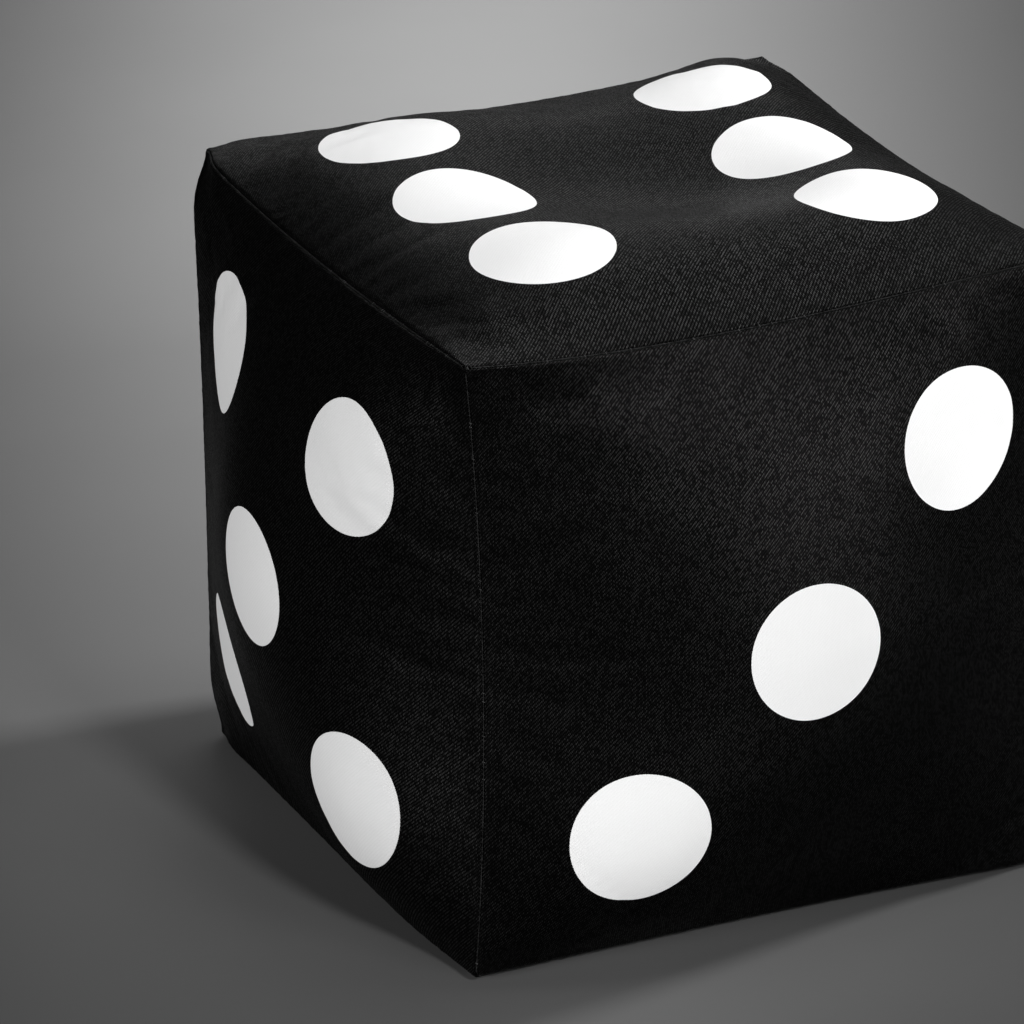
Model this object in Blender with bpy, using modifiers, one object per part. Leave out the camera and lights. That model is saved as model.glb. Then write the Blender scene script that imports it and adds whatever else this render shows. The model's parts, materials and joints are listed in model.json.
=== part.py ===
"""A giant soft die: a sewn cube cover with a zip, an inner liner bag and a bead filling.

Units are metres and +Z is up. The origin is the middle of the base, on the ground. The face with
three dots looks along -Y, the five along -X and the six up. The dots are printed on the cloth, so
they have no thickness and no solids here.
"""

import math

import bmesh
import bpy
from mathutils import Matrix, Vector

# The cover, measured along its seams from corner to corner.
WIDTH = 0.450
DEPTH = 0.450
HEIGHT = 0.450

# How far the cloth swells or gives between its seams.
SIDE_CROWN = 0.058
SIDE_SAG = 0.35
TOP_CROWN = 0.032
TOP_TROUGH = 0.016
SEAM_BOW = 0.006
TOP_SEAM_DIP = 0.009
BASE_SEAM_LIFT = 0.004
BASE_FLAT = 0.8

# Cloth and thread.
COVER_CLOTH = 0.0010
LINER_CLOTH = 0.0005
THREAD = 0.0008
CLEARANCE = 0.0003
COVER_ALLOWANCE = 0.010
LINER_ALLOWANCE = 0.006
THREAD_DEPTH = 0.0012
THREAD_END_GAP = 0.006

# The layers inside the cover, each clear of the allowances turned in around it.
LINER_CLEARANCE = 0.008
LINER_INSET = COVER_ALLOWANCE * math.sqrt(0.5) + LINER_CLEARANCE
LINER_PLUMP = 0.009
FILLING_CLEARANCE = 0.008
FILLING_INSET = LINER_ALLOWANCE * math.sqrt(0.5) + FILLING_CLEARANCE
FILLING_PLUMP = 0.018
LAYER_GAP = 0.0010
FILLING_GAP = 0.0030

# The zip's chain.
COIL_RADIUS = 0.0011
COIL_SPACING = 0.0012
TAPE_WIDTH = 0.0140
TAPE_THICKNESS = 0.0006
TAPE_SPARE = 0.012
STOP_LENGTH = 0.0025

# The slider and its pull tab.
SLIDER_LENGTH = 0.011
SLIDER_PLATE = 0.0010
SLIDER_LIP = 0.0012
LIP_CLEARANCE = 0.0005
SLIDER_WIDTH = COIL_SPACING + 4 * COIL_RADIUS + 2 * (LIP_CLEARANCE + SLIDER_LIP)
POST_LENGTH = 0.0030
BRIDGE_LENGTH = 0.0080
BRIDGE_WIDTH = 0.0024
BRIDGE_WALL = 0.0010
TAB_LENGTH = 0.0230
TAB_WIDTH = 0.0066
TAB_THICKNESS = 0.0010
TAB_BAR = 0.0010
TAB_WINDOW_CLEARANCE = 0.0005

# Where the zip is set across the back, and the opening between the folded edges beside it.
ZIP_HEIGHT = 0.045
ZIP_LENGTH = 0.330
ZIP_BULGE = 0.008
ZIP_REACH = 0.045
ZIP_MARGIN = 0.0018
ZIP_OPENING = SLIDER_WIDTH + 2 * ZIP_MARGIN
ZIP_RUNOUT = TAB_LENGTH + 0.005
ZIP_TAPER = 0.012
ZIP_FOLD = 0.005

# How finely the cloth is divided.
PANEL_CELLS = 10
LINER_CELLS = 8
LOWER_BACK_CELLS = 2

X, Y, Z = Vector((1, 0, 0)), Vector((0, 1, 0)), Vector((0, 0, 1))

# Each face of the cube: its outward normal, and the directions of u and v seen from outside.
FACES = {
    "top": (Z, X, Y),
    "bottom": (-Z, Y, X),
    "front": (-Y, X, Z),
    "right": (X, Y, Z),
    "back": (Y, -X, Z),
    "left": (-X, -Y, Z),
}
ON_FACE = 1 - 1e-6

SEAM_GAP = THREAD + 2 * CLEARANCE
ZIP_V = 2 * ZIP_HEIGHT / HEIGHT - 1
TAPE_TOP_V = 2 * (ZIP_HEIGHT + TAPE_WIDTH) / HEIGHT - 1
ZIP_STRAIGHT_U = (ZIP_LENGTH / 2 + ZIP_RUNOUT) / (WIDTH / 2)
ZIP_SEWN_U = ZIP_STRAIGHT_U + ZIP_TAPER / (WIDTH / 2)

# Depths of the zip's layers, measured along +Y.
ZIP_FACE_Y = DEPTH / 2 + ZIP_BULGE
TAPE_FRONT_Y = ZIP_FACE_Y - ZIP_FOLD - 2 * CLEARANCE
TAPE_BACK_Y = TAPE_FRONT_Y - TAPE_THICKNESS
COIL_Y = TAPE_FRONT_Y + CLEARANCE + COIL_RADIUS
PLATE_BACK_Y = COIL_Y + COIL_RADIUS + CLEARANCE
PLATE_FRONT_Y = PLATE_BACK_Y + SLIDER_PLATE
BRIDGE_RISE = TAB_BAR * math.sqrt(2) + 2 * CLEARANCE
TAB_AXIS_Y = PLATE_FRONT_Y + BRIDGE_RISE / 2
COIL_Z = COIL_SPACING / 2 + COIL_RADIUS
SLIDER_X = ZIP_LENGTH / 2 - SLIDER_LENGTH / 2 - CLEARANCE


def clear_scene():
    """Empties the scene of whatever it opened with."""
    for item in list(bpy.data.objects):
        bpy.data.objects.remove(item)


def new_collection(name):
    """A collection linked to the scene."""
    made = bpy.data.collections.new(name)
    bpy.context.scene.collection.children.link(made)
    return made


def finish(name, colour, roughness, metallic=0.0):
    """A Principled BSDF material."""
    made = bpy.data.materials.new(name)
    made.use_nodes = True
    shader = made.node_tree.nodes["Principled BSDF"]
    shader.inputs["Base Color"].default_value = (*colour, 1)
    shader.inputs["Roughness"].default_value = roughness
    shader.inputs["Metallic"].default_value = metallic
    return made


def add_object(name, data, colour_of, collection):
    """An object in a collection, with its own copy of a finish."""
    made = bpy.data.objects.new(name, data)
    own = colour_of.copy()
    own.name = name
    data.materials.append(own)
    collection.objects.link(made)
    return made


def mesh_of(bm, name):
    """A mesh made from a bmesh, which is freed."""
    data = bpy.data.meshes.new(name)
    bm.to_mesh(data)
    bm.free()
    return data


def smooth_step(value):
    """A smooth rise from 0 to 1."""
    value = min(max(value, 0.0), 1.0)
    return value * value * (3 - 2 * value)


class Layer:
    """One skin of the cushion: the swollen cube that the cover, the liner or the filling follows."""

    def __init__(self, inset, base, plump=0.0):
        self.base = base
        self.half = (WIDTH / 2 - inset, DEPTH / 2 - inset)
        self.height = HEIGHT - inset - base
        self.side_crown = SIDE_CROWN + plump
        self.top_crown = TOP_CROWN + plump

    def side_swell(self, u, v):
        """How far a side stands out, fuller below the middle where the filling settles."""
        return self.side_crown * (1 - u * u) ** 1.2 * (1 - v * v) * (1 - SIDE_SAG * v)

    def back_swell(self, u, v):
        """The back swells as a side does, but the zip holds it straight along its line."""
        near = math.exp(-(((v - ZIP_V) * HEIGHT / 2 / ZIP_REACH) ** 2))
        beyond = max(abs(u) - ZIP_STRAIGHT_U, 0) / (1 - ZIP_STRAIGHT_U)
        held = ZIP_BULGE * (1 - beyond**2) * (1 - v * v) / (1 - ZIP_V * ZIP_V)
        return self.side_swell(u, v) * (1 - near) + held * near

    def top_swell(self, u, v):
        """The top stands up steeply from its seams and has a shallow hollow in the middle."""
        crown = self.top_crown * (1 - abs(u) ** 3.5) * (1 - abs(v) ** 3.5)
        return crown - TOP_TROUGH * math.exp(-((u / 0.35) ** 2) - (v / 0.6) ** 2)

    def seam_drift(self, p):
        """What the seams themselves give: uprights bow out, top seams dip, base seams lift."""
        x, y, z = p
        bow = SEAM_BOW * (abs(x) * abs(y)) ** 8 * (1 - z * z)
        dip = TOP_SEAM_DIP * ((1 + z) / 2) ** 4
        dip *= abs(y) ** 4 * (1 - x * x) + abs(x) ** 4 * (1 - y * y)
        rim = (max(abs(x), abs(y)) - BASE_FLAT) / (1 - BASE_FLAT)
        lift = BASE_SEAM_LIFT * smooth_step(rim) * (1 - smooth_step((1 + z) / (1 + ZIP_V)))
        return Vector((math.copysign(bow, x), math.copysign(bow, y), lift - dip))

    def at(self, p):
        """The point of the skin that belongs to a point p on the cube from -1 to 1."""
        x, y, z = p
        place = Vector((x * self.half[0], y * self.half[1], self.base + (z + 1) / 2 * self.height))
        if abs(x) > ON_FACE:
            place.x += math.copysign(self.side_swell(y, z), x)
        if y < -ON_FACE:
            place.y -= self.side_swell(x, z)
        if y > ON_FACE:
            place.y += self.back_swell(x, z)
        if z > ON_FACE:
            place.z += self.top_swell(x, y)
        return place + self.seam_drift(p)


def zip_share(x):
    """1 along the zip's opening, falling to 0 where the two back pieces are sewn together."""
    past = abs(x) - (ZIP_LENGTH / 2 + ZIP_RUNOUT)
    return 1 - smooth_step(past / ZIP_TAPER)


def lines(first, last, cells):
    """Evenly spaced parameters from first to last."""
    return [first + (last - first) * i / cells for i in range(cells + 1)]


def touched_faces(p):
    """The normals of the faces that the point p lies on: two along a seam, three at a corner."""
    return [normal for normal, _, _ in FACES.values() if p.dot(normal) > ON_FACE]


def edge_place(layer, normals, others, p, turned, allowance):
    """A point on a panel's sewn edge, or the end of its allowance turned in below that point.

    normals are those of the panel there, and others those of the panels it is sewn to.
    """
    own, across = sum(normals, Vector()), sum(others, Vector())
    place = layer.at(p) + (own - across) * (SEAM_GAP * math.sqrt(2) / 4)
    if turned:
        place -= (own + across) * (allowance * math.sqrt(2) / 2)
    return place


def panel(name, layer, face, u_lines, v_lines, cloth, allowance, colour, zip_side=0):
    """A piece of cloth for one face, with its allowance turned in all round.

    zip_side is -1 where its lower edge is at the zip, 1 where its upper edge is, and otherwise 0.
    """
    normal, u_way, v_way = FACES[face]
    columns, rows = len(u_lines) + 1, len(v_lines) + 1
    bm = bmesh.new()
    bmesh.ops.create_grid(bm, x_segments=columns, y_segments=rows, size=1)
    corners = []
    for cell in bm.faces:
        middle = cell.calc_center_median()
        if abs(middle.x) > 1 - 1.5 / columns and abs(middle.y) > 1 - 1.5 / rows:
            corners.append(cell)
    bmesh.ops.delete(bm, geom=corners, context="FACES")
    for vert in bm.verts:
        i = round((vert.co.x + 1) / 2 * columns)
        j = round((vert.co.y + 1) / 2 * rows)
        turned = i in (0, columns) or j in (0, rows)
        u = u_lines[min(max(i - 1, 0), len(u_lines) - 1)]
        v = v_lines[min(max(j - 1, 0), len(v_lines) - 1)]
        p = normal + u_way * u + v_way * v
        others = [other for other in touched_faces(p) if other != normal]
        if others:
            vert.co = edge_place(layer, [normal], others, p, turned, allowance)
        else:
            vert.co = layer.at(p)
        if (zip_side < 0 and j <= 1) or (zip_side > 0 and j >= rows - 1):
            share = zip_share(vert.co.x)
            half_gap = (SEAM_GAP + (ZIP_OPENING - SEAM_GAP) * share) / 2
            vert.co.z -= zip_side * half_gap
            if turned and not others:
                vert.co.y -= allowance + (ZIP_FOLD - allowance) * share
    bmesh.ops.remove_doubles(bm, verts=bm.verts, dist=1e-6)
    made = add_object(name, mesh_of(bm, name), colour, parts)
    thicken(made, cloth)
    return made


def thicken(made, cloth):
    """Gives a surface its cloth thickness, on the inner side."""
    wall = made.modifiers.new("cloth", "SOLIDIFY")
    wall.thickness = cloth
    wall.offset = -1
    wall.use_even_offset = True
    wall.use_quality_normals = True


def liner_rows():
    """The heights at which the liner and the filling are divided, with a flat row behind the zip."""
    return [-1, ZIP_V, *lines(TAPE_TOP_V, 1, LINER_CELLS - 2)]


def liner_band(name, layer, colour):
    """The liner's four sides in one piece of cloth, with its two rims turned in."""
    around = ["front", "right", "back", "left"]
    columns, rows = 4 * LINER_CELLS, LINER_CELLS + 2
    bm = bmesh.new()
    bmesh.ops.create_grid(bm, x_segments=columns, y_segments=rows, size=1)
    v_lines = liner_rows()
    for vert in bm.verts:
        i = round((vert.co.x + 1) / 2 * columns) % columns
        j = round((vert.co.y + 1) / 2 * rows)
        normal, u_way, v_way = FACES[around[i // LINER_CELLS]]
        v = v_lines[min(max(j - 1, 0), LINER_CELLS)]
        p = normal + u_way * (2 * (i % LINER_CELLS) / LINER_CELLS - 1) + v_way * v
        if abs(v) < 1:
            vert.co = layer.at(p)
            continue
        sides = [FACES[side][0] for side in around if p.dot(FACES[side][0]) > ON_FACE]
        vert.co = edge_place(layer, sides, [v_way * v], p, j in (0, rows), LINER_ALLOWANCE)
    bmesh.ops.remove_doubles(bm, verts=bm.verts, dist=1e-6)
    made = add_object(name, mesh_of(bm, name), colour, parts)
    thicken(made, LINER_CLOTH)
    return made


def filling(name, layer, colour):
    """The beads as one settled body, divided as the liner is."""
    rows = liner_rows()
    bm = bmesh.new()
    bmesh.ops.create_cube(bm, size=2)
    bmesh.ops.subdivide_edges(bm, edges=bm.edges, cuts=LINER_CELLS - 1, use_grid_fill=True)
    for vert in bm.verts:
        row = round((vert.co.z + 1) / 2 * LINER_CELLS)
        vert.co = layer.at(Vector((vert.co.x, vert.co.y, rows[row])))
    return add_object(name, mesh_of(bm, name), colour, parts)


def tube(name, points, radius, colour):
    """A round thread or rod through some points."""
    data = bpy.data.curves.new(name, "CURVE")
    data.dimensions = "3D"
    data.bevel_depth = radius
    data.bevel_resolution = 2
    data.use_fill_caps = True
    route = data.splines.new("POLY")
    route.points.add(len(points) - 1)
    for point, place in zip(route.points, points):
        point.co = (*place, 1)
    return add_object(name, data, colour, parts)


def shortened(points, cut):
    """The same route with a length cut off at both ends."""
    ends = []
    for end, following in ((points[0], points[1]), (points[-1], points[-2])):
        ends.append(end + (following - end).normalized() * cut)
    return [ends[0], *points[1:-1], ends[1]]


def seam_thread(name, layer, first, second, cells, colour):
    """The thread that joins the panels of two faces along the seam that they share."""
    along = first.cross(second)
    inward = (first + second) * (THREAD_DEPTH * math.sqrt(2) / 2)
    points = [layer.at(first + second + along * t) - inward for t in lines(-1, 1, cells)]
    tube(name, shortened(points, THREAD_END_GAP), THREAD / 2, colour)


def box(name, low, high, colour, collection, rounding=0.0):
    """A box between two corners, with its edges rounded if asked."""
    low, high = Vector(low), Vector(high)
    bm = bmesh.new()
    bmesh.ops.create_cube(bm, size=1)
    size = Matrix.Diagonal((*(high - low), 1))
    bmesh.ops.transform(bm, matrix=Matrix.Translation((low + high) / 2) @ size, verts=bm.verts)
    made = add_object(name, mesh_of(bm, name), colour, collection)
    if rounding:
        edge = made.modifiers.new("rounding", "BEVEL")
        edge.width = rounding
        edge.segments = 1
    return made


def zip_box(name, x_span, y_span, z_span, colour, collection, rounding=0.0):
    """A box given by its spans, with z counted from the middle of the zip."""
    low = (x_span[0], y_span[0], ZIP_HEIGHT + z_span[0])
    high = (x_span[1], y_span[1], ZIP_HEIGHT + z_span[1])
    return box(name, low, high, colour, collection, rounding)


def build_cover():
    """The seven cloth pieces of the cover and the threads that join them."""
    layer = Layer(0, 0)
    black = finish("cover_cloth", (0.012, 0.012, 0.013), 0.75)
    whole = lines(-1, 1, PANEL_CELLS)
    beside_zip = lines(-ZIP_STRAIGHT_U, ZIP_STRAIGHT_U, PANEL_CELLS - 2)
    across_back = [-1, -ZIP_SEWN_U, *beside_zip, ZIP_SEWN_U, 1]
    above_zip = lines(ZIP_V, 1, PANEL_CELLS - 1)
    below_zip = lines(-1, ZIP_V, LOWER_BACK_CELLS)
    cut = (COVER_CLOTH, COVER_ALLOWANCE, black)
    for face in ("top", "front", "left", "right", "bottom"):
        panel(f"cover_{face}_panel", layer, face, whole, whole, *cut)
    panel("cover_back_panel", layer, "back", across_back, above_zip, *cut, zip_side=-1)
    panel("cover_back_lower_panel", layer, "back", across_back, below_zip, *cut, zip_side=1)

    thread = finish("cover_thread", (0.02, 0.02, 0.02), 0.6)
    for rim in ("top", "bottom"):
        for side in ("front", "right", "back", "left"):
            pair = (FACES[rim][0], FACES[side][0])
            seam_thread(f"seam_thread_{rim}_{side}", layer, *pair, PANEL_CELLS, thread)
    for side, next_side in (("front", "left"), ("front", "right"), ("back", "left"), ("back", "right")):
        pair = (FACES[side][0], FACES[next_side][0])
        seam_thread(f"seam_thread_{side}_{next_side}", layer, *pair, PANEL_CELLS, thread)
    zip_end_threads(layer, thread)


def zip_end_threads(layer, colour):
    """The short seams that close the back between each end of the zip and the corner."""
    for side, sign in (("left", -1), ("right", 1)):
        points = []
        for u in (ZIP_SEWN_U, 1):
            p = Vector((sign * u, 1, ZIP_V))
            points.append(layer.at(p) - Y * THREAD_DEPTH)
        inner_end, corner = points
        run = (corner - inner_end).normalized()
        route = [inner_end + run * CLEARANCE, corner - run * THREAD_END_GAP]
        tube(f"seam_thread_zip_{side}", route, THREAD / 2, colour)


def build_liner():
    """The inner bag, sewn shut around the beads, and its two rim threads."""
    base = COVER_CLOTH + LAYER_GAP
    layer = Layer(LINER_INSET, base, LINER_PLUMP)
    white = finish("liner_cloth", (0.72, 0.72, 0.70), 0.85)
    whole = lines(-1, 1, LINER_CELLS)
    for face in ("top", "bottom"):
        cut = (LINER_CLOTH, LINER_ALLOWANCE, white)
        panel(f"liner_{face}_panel", layer, face, whole, whole, *cut)
    liner_band("liner_side_band", layer, white)
    thread = finish("liner_thread", (0.7, 0.7, 0.68), 0.7)
    for rim in ("top", "bottom"):
        points = rim_route(layer, FACES[rim][0])
        tube(f"liner_thread_{rim}", points, THREAD / 2, thread)
    beads = Layer(LINER_INSET + FILLING_INSET, base + LINER_CLOTH + FILLING_GAP, FILLING_PLUMP)
    filling("bead_filling", beads, finish("beads", (0.85, 0.85, 0.85), 0.6))


def rim_route(layer, rim):
    """The route of a thread round a rim of the liner, starting and ending at the back left corner."""
    points = []
    for side in ("left", "front", "right", "back"):
        normal, u_way, _ = FACES[side]
        for u in lines(-1, 1, LINER_CELLS)[:-1]:
            p = rim + normal + u_way * u
            inward = sum(touched_faces(p), Vector())
            points.append(layer.at(p) - inward * (THREAD_DEPTH * math.sqrt(2) / 2))
    points.append(points[0])
    return shortened(points, THREAD_END_GAP)


def build_zip():
    """The zip's tapes, coils and stops, which stay with the cover."""
    tape = finish("zip_tape", (0.015, 0.015, 0.016), 0.8)
    nylon = finish("zip_coil", (0.02, 0.02, 0.02), 0.35)
    metal = finish("zip_metal", (0.05, 0.05, 0.05), 0.4, 1.0)
    half = ZIP_LENGTH / 2
    tape_x = (-half - TAPE_SPARE, half + TAPE_SPARE)
    tape_y = (TAPE_BACK_Y, TAPE_FRONT_Y)
    stop_y = (TAPE_FRONT_Y + CLEARANCE, PLATE_FRONT_Y)
    closed_end = (half + CLEARANCE, half + CLEARANCE + STOP_LENGTH)
    open_end = (-closed_end[1], -closed_end[0])
    inner, outer = COIL_SPACING / 2, COIL_SPACING / 2 + 2 * COIL_RADIUS
    for side, sign in (("upper", 1), ("lower", -1)):
        tape_z = sorted((sign * inner, sign * TAPE_WIDTH))
        zip_box(f"zip_{side}_tape", tape_x, tape_y, tape_z, tape, parts)
        ends = [Vector((x, COIL_Y, ZIP_HEIGHT + sign * COIL_Z)) for x in (-half, half)]
        tube(f"zip_{side}_coil", ends, COIL_RADIUS, nylon)
        stop_z = sorted((sign * inner, sign * outer))
        zip_box(f"zip_{side}_top_stop", closed_end, stop_y, stop_z, metal, parts)
    zip_box("zip_bottom_stop", open_end, stop_y, (-outer, outer), metal, parts)
    build_slider(metal)
    build_pull_tab(metal)


def build_slider(metal):
    """Two plates joined by a post between the coils, with lips beside them and a bridge in front."""
    x_span = (SLIDER_X - SLIDER_LENGTH / 2, SLIDER_X + SLIDER_LENGTH / 2)
    half = SLIDER_WIDTH / 2
    back_y = TAPE_BACK_Y - CLEARANCE
    overlap = SLIDER_PLATE / 2
    plate = (PLATE_BACK_Y, PLATE_FRONT_Y)
    slider = zip_box("zip_slider", x_span, plate, (-half, half), metal, parts)
    joined = [zip_box("slider_back", x_span, (back_y - SLIDER_PLATE, back_y), (-half, half), metal, helpers)]
    post_x = (x_span[1] - SLIDER_PLATE - POST_LENGTH, x_span[1] - SLIDER_PLATE)
    post_y = (back_y - overlap, PLATE_BACK_Y + overlap)
    post_half = COIL_SPACING / 2 - CLEARANCE
    joined.append(zip_box("slider_post", post_x, post_y, (-post_half, post_half), metal, helpers))
    lip_y = (TAPE_FRONT_Y + CLEARANCE, PLATE_BACK_Y + overlap)
    for name, sign in (("slider_upper_lip", 1), ("slider_lower_lip", -1)):
        lip_z = sorted((sign * (half - SLIDER_LIP), sign * half))
        joined.append(zip_box(name, x_span, lip_y, lip_z, metal, helpers))
    joined.extend(bridge_boxes(metal))
    for piece in joined:
        union = slider.modifiers.new(piece.name, "BOOLEAN")
        union.operation = "UNION"
        union.solver = "EXACT"
        union.object = piece
        piece.hide_render = True
        piece.display_type = "WIRE"


def bridge_boxes(metal):
    """The top and the two legs of the bridge that holds the pull tab."""
    half_length, half_width = BRIDGE_LENGTH / 2, BRIDGE_WIDTH / 2
    under_y = PLATE_FRONT_Y + BRIDGE_RISE
    top_y = under_y + BRIDGE_WALL
    foot_y = PLATE_FRONT_Y - SLIDER_PLATE / 2
    width = (-half_width, half_width)
    near, far = SLIDER_X - half_length, SLIDER_X + half_length
    top = zip_box("bridge_top", (near, far), (under_y, top_y), width, metal, helpers)
    first = zip_box("bridge_first_leg", (near, near + BRIDGE_WALL), (foot_y, top_y), width, metal, helpers)
    last = zip_box("bridge_last_leg", (far - BRIDGE_WALL, far), (foot_y, top_y), width, metal, helpers)
    return [first, last, top]


def build_pull_tab(metal):
    """A flat tab whose end bar passes under the bridge and turns there, lying towards -X."""
    half = TAB_WIDTH / 2
    window = BRIDGE_WIDTH / 2 + TAB_WINDOW_CLEARANCE
    window_far = BRIDGE_LENGTH / 2 + TAB_WINDOW_CLEARANCE
    data = bpy.data.curves.new("zip_pull_tab", "CURVE")
    data.dimensions = "2D"
    data.fill_mode = "BOTH"
    data.extrude = TAB_THICKNESS / 2
    end_x = -TAB_LENGTH + half
    outline = [(TAB_BAR / 2, -half), (TAB_BAR / 2, half)]
    for step in range(7):
        turn = math.pi / 2 + math.pi * step / 6
        outline.append((end_x + half * math.cos(turn), half * math.sin(turn)))
    hole = [(-TAB_BAR / 2, -window), (-window_far, -window), (-window_far, window), (-TAB_BAR / 2, window)]
    for points in (outline, hole):
        spline = data.splines.new("POLY")
        spline.use_cyclic_u = True
        spline.points.add(len(points) - 1)
        for point, place in zip(spline.points, points):
            point.co = (*place, 0, 1)
    tab = add_object("zip_pull_tab", data, metal, parts)
    tab.location = (SLIDER_X, TAB_AXIS_Y, ZIP_HEIGHT)
    tab.rotation_euler = (math.pi / 2, 0, 0)


clear_scene()
parts = new_collection("giant_soft_die")
helpers = new_collection("helpers")
helpers.hide_render = True
build_cover()
build_zip()
build_liner()
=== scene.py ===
"""The looks of a giant soft die: a printed twill cover, its seams and zip, the liner bag and the beads.

Units are metres and +Z is up. The face with three dots looks along -Y, the five along -X and the six
up. Shapes of the cushion are given in millimetres, where a maker would measure them.
"""

import json
import logging
import math
from dataclasses import dataclass
from enum import Enum

import bmesh
import bpy
import numpy as np
from mathutils import Matrix, Vector

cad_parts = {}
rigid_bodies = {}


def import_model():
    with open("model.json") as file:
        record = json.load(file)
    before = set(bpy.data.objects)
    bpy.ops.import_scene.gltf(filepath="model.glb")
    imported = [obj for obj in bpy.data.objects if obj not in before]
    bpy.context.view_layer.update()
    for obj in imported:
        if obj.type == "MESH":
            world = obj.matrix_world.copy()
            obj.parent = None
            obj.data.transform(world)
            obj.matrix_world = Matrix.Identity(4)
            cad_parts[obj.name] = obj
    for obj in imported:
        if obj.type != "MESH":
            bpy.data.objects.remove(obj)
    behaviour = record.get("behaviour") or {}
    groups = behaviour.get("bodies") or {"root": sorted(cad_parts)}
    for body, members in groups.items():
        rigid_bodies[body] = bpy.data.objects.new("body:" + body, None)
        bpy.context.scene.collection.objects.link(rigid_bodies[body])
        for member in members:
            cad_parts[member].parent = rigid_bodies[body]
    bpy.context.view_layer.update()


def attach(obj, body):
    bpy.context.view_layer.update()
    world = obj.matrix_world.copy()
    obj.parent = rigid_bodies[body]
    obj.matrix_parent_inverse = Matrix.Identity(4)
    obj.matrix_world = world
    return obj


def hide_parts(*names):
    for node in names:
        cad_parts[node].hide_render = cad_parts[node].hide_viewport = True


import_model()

LOG = logging.getLogger("soft_die")
MM = 0.001
SIDE = 0.450
HALF = SIDE / 2

Array = np.ndarray
Seam = tuple[int, int, int]


class Face(Enum):
    """The six faces of the die: the axis that each looks along, and which way."""

    TOP = (2, 1)
    BOTTOM = (2, -1)
    FRONT = (1, -1)
    BACK = (1, 1)
    LEFT = (0, -1)
    RIGHT = (0, 1)

    @property
    def axis(self) -> int:
        """The axis that the face looks along."""
        return self.value[0]

    @property
    def sign(self) -> int:
        """1 where it looks along +axis, otherwise -1."""
        return self.value[1]

    @property
    def across(self) -> tuple[int, int]:
        """The axes along which u and v run on the face."""
        first, second = (axis for axis in range(3) if axis != self.axis)
        return first, second

    @property
    def mirrored(self) -> bool:
        """Whether u and v run clockwise, seen from outside."""
        return self.sign < 0 if self.axis != 1 else self.sign > 0

    @property
    def normal(self) -> Array:
        """The outward direction."""
        way = np.zeros(3)
        way[self.axis] = self.sign
        return way


# ---------------------------------------------------------------------------------------------------
# The shape of the filled cushion
# ---------------------------------------------------------------------------------------------------


@dataclass(frozen=True)
class Swell:
    """A soft rise of the cloth, or a hollow if its rise is negative, in mm and in parts of a half side."""

    rise: float
    u: float
    v: float
    reach: float


@dataclass(frozen=True)
class FaceShape:
    """How one face stands out between its seams: a crown, how boxy it is, its lean, and its swells."""

    crown: float
    boxy_u: float
    boxy_v: float
    lean_u: float
    lean_v: float
    swells: tuple[Swell, ...] = ()

    def height(self, u: Array, v: Array) -> Array:
        """How far the face stands out.

        Args:
            u: Places across the face, from -1 to 1.
            v: Places up the face, from -1 to 1.

        Returns:
            The heights over the face's seams, in metres.
        """
        crown = self.crown * (1 - abs(u) ** self.boxy_u) * (1 - abs(v) ** self.boxy_v)
        rise = crown * (1 + self.lean_u * u + self.lean_v * v)
        held = (1 - u**8) * (1 - v**8)
        for swell in self.swells:
            distance = (u - swell.u) ** 2 + (v - swell.v) ** 2
            rise = rise + held * swell.rise * np.exp(-distance / swell.reach**2)
        return rise * MM


@dataclass(frozen=True)
class ZipPlace:
    """Where the zip is set into the back, and the sizes that the slider and tapes share with it."""

    height: float = 0.045
    length: float = 0.330
    face: float = 0.233
    reach: float = 0.045
    runout: float = 0.028
    taper: float = 0.012
    opening: float = 0.0126
    fold: float = 0.005
    tape_front: float = 0.2274
    tape_thickness: float = 0.0006
    tape_width: float = 0.0140
    tape_spare: float = 0.012
    coil_front: float = 0.2299
    plate_back: float = 0.2302

    @property
    def v(self) -> float:
        """The zip's height as a place up the back face."""
        return 2 * self.height / SIDE - 1

    @property
    def straight_u(self) -> float:
        """How far across the back the opening keeps its width."""
        return (self.length / 2 + self.runout) / HALF

    def share(self, x: Array) -> Array:
        """1 along the opening, falling to 0 where the two back pieces are sewn together."""
        return 1 - smooth((abs(x) - self.length / 2 - self.runout) / self.taper)


def smooth(value: Array) -> Array:
    """A smooth rise from 0 to 1."""
    value = np.clip(value, 0, 1)
    return value * value * (3 - 2 * value)


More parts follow.
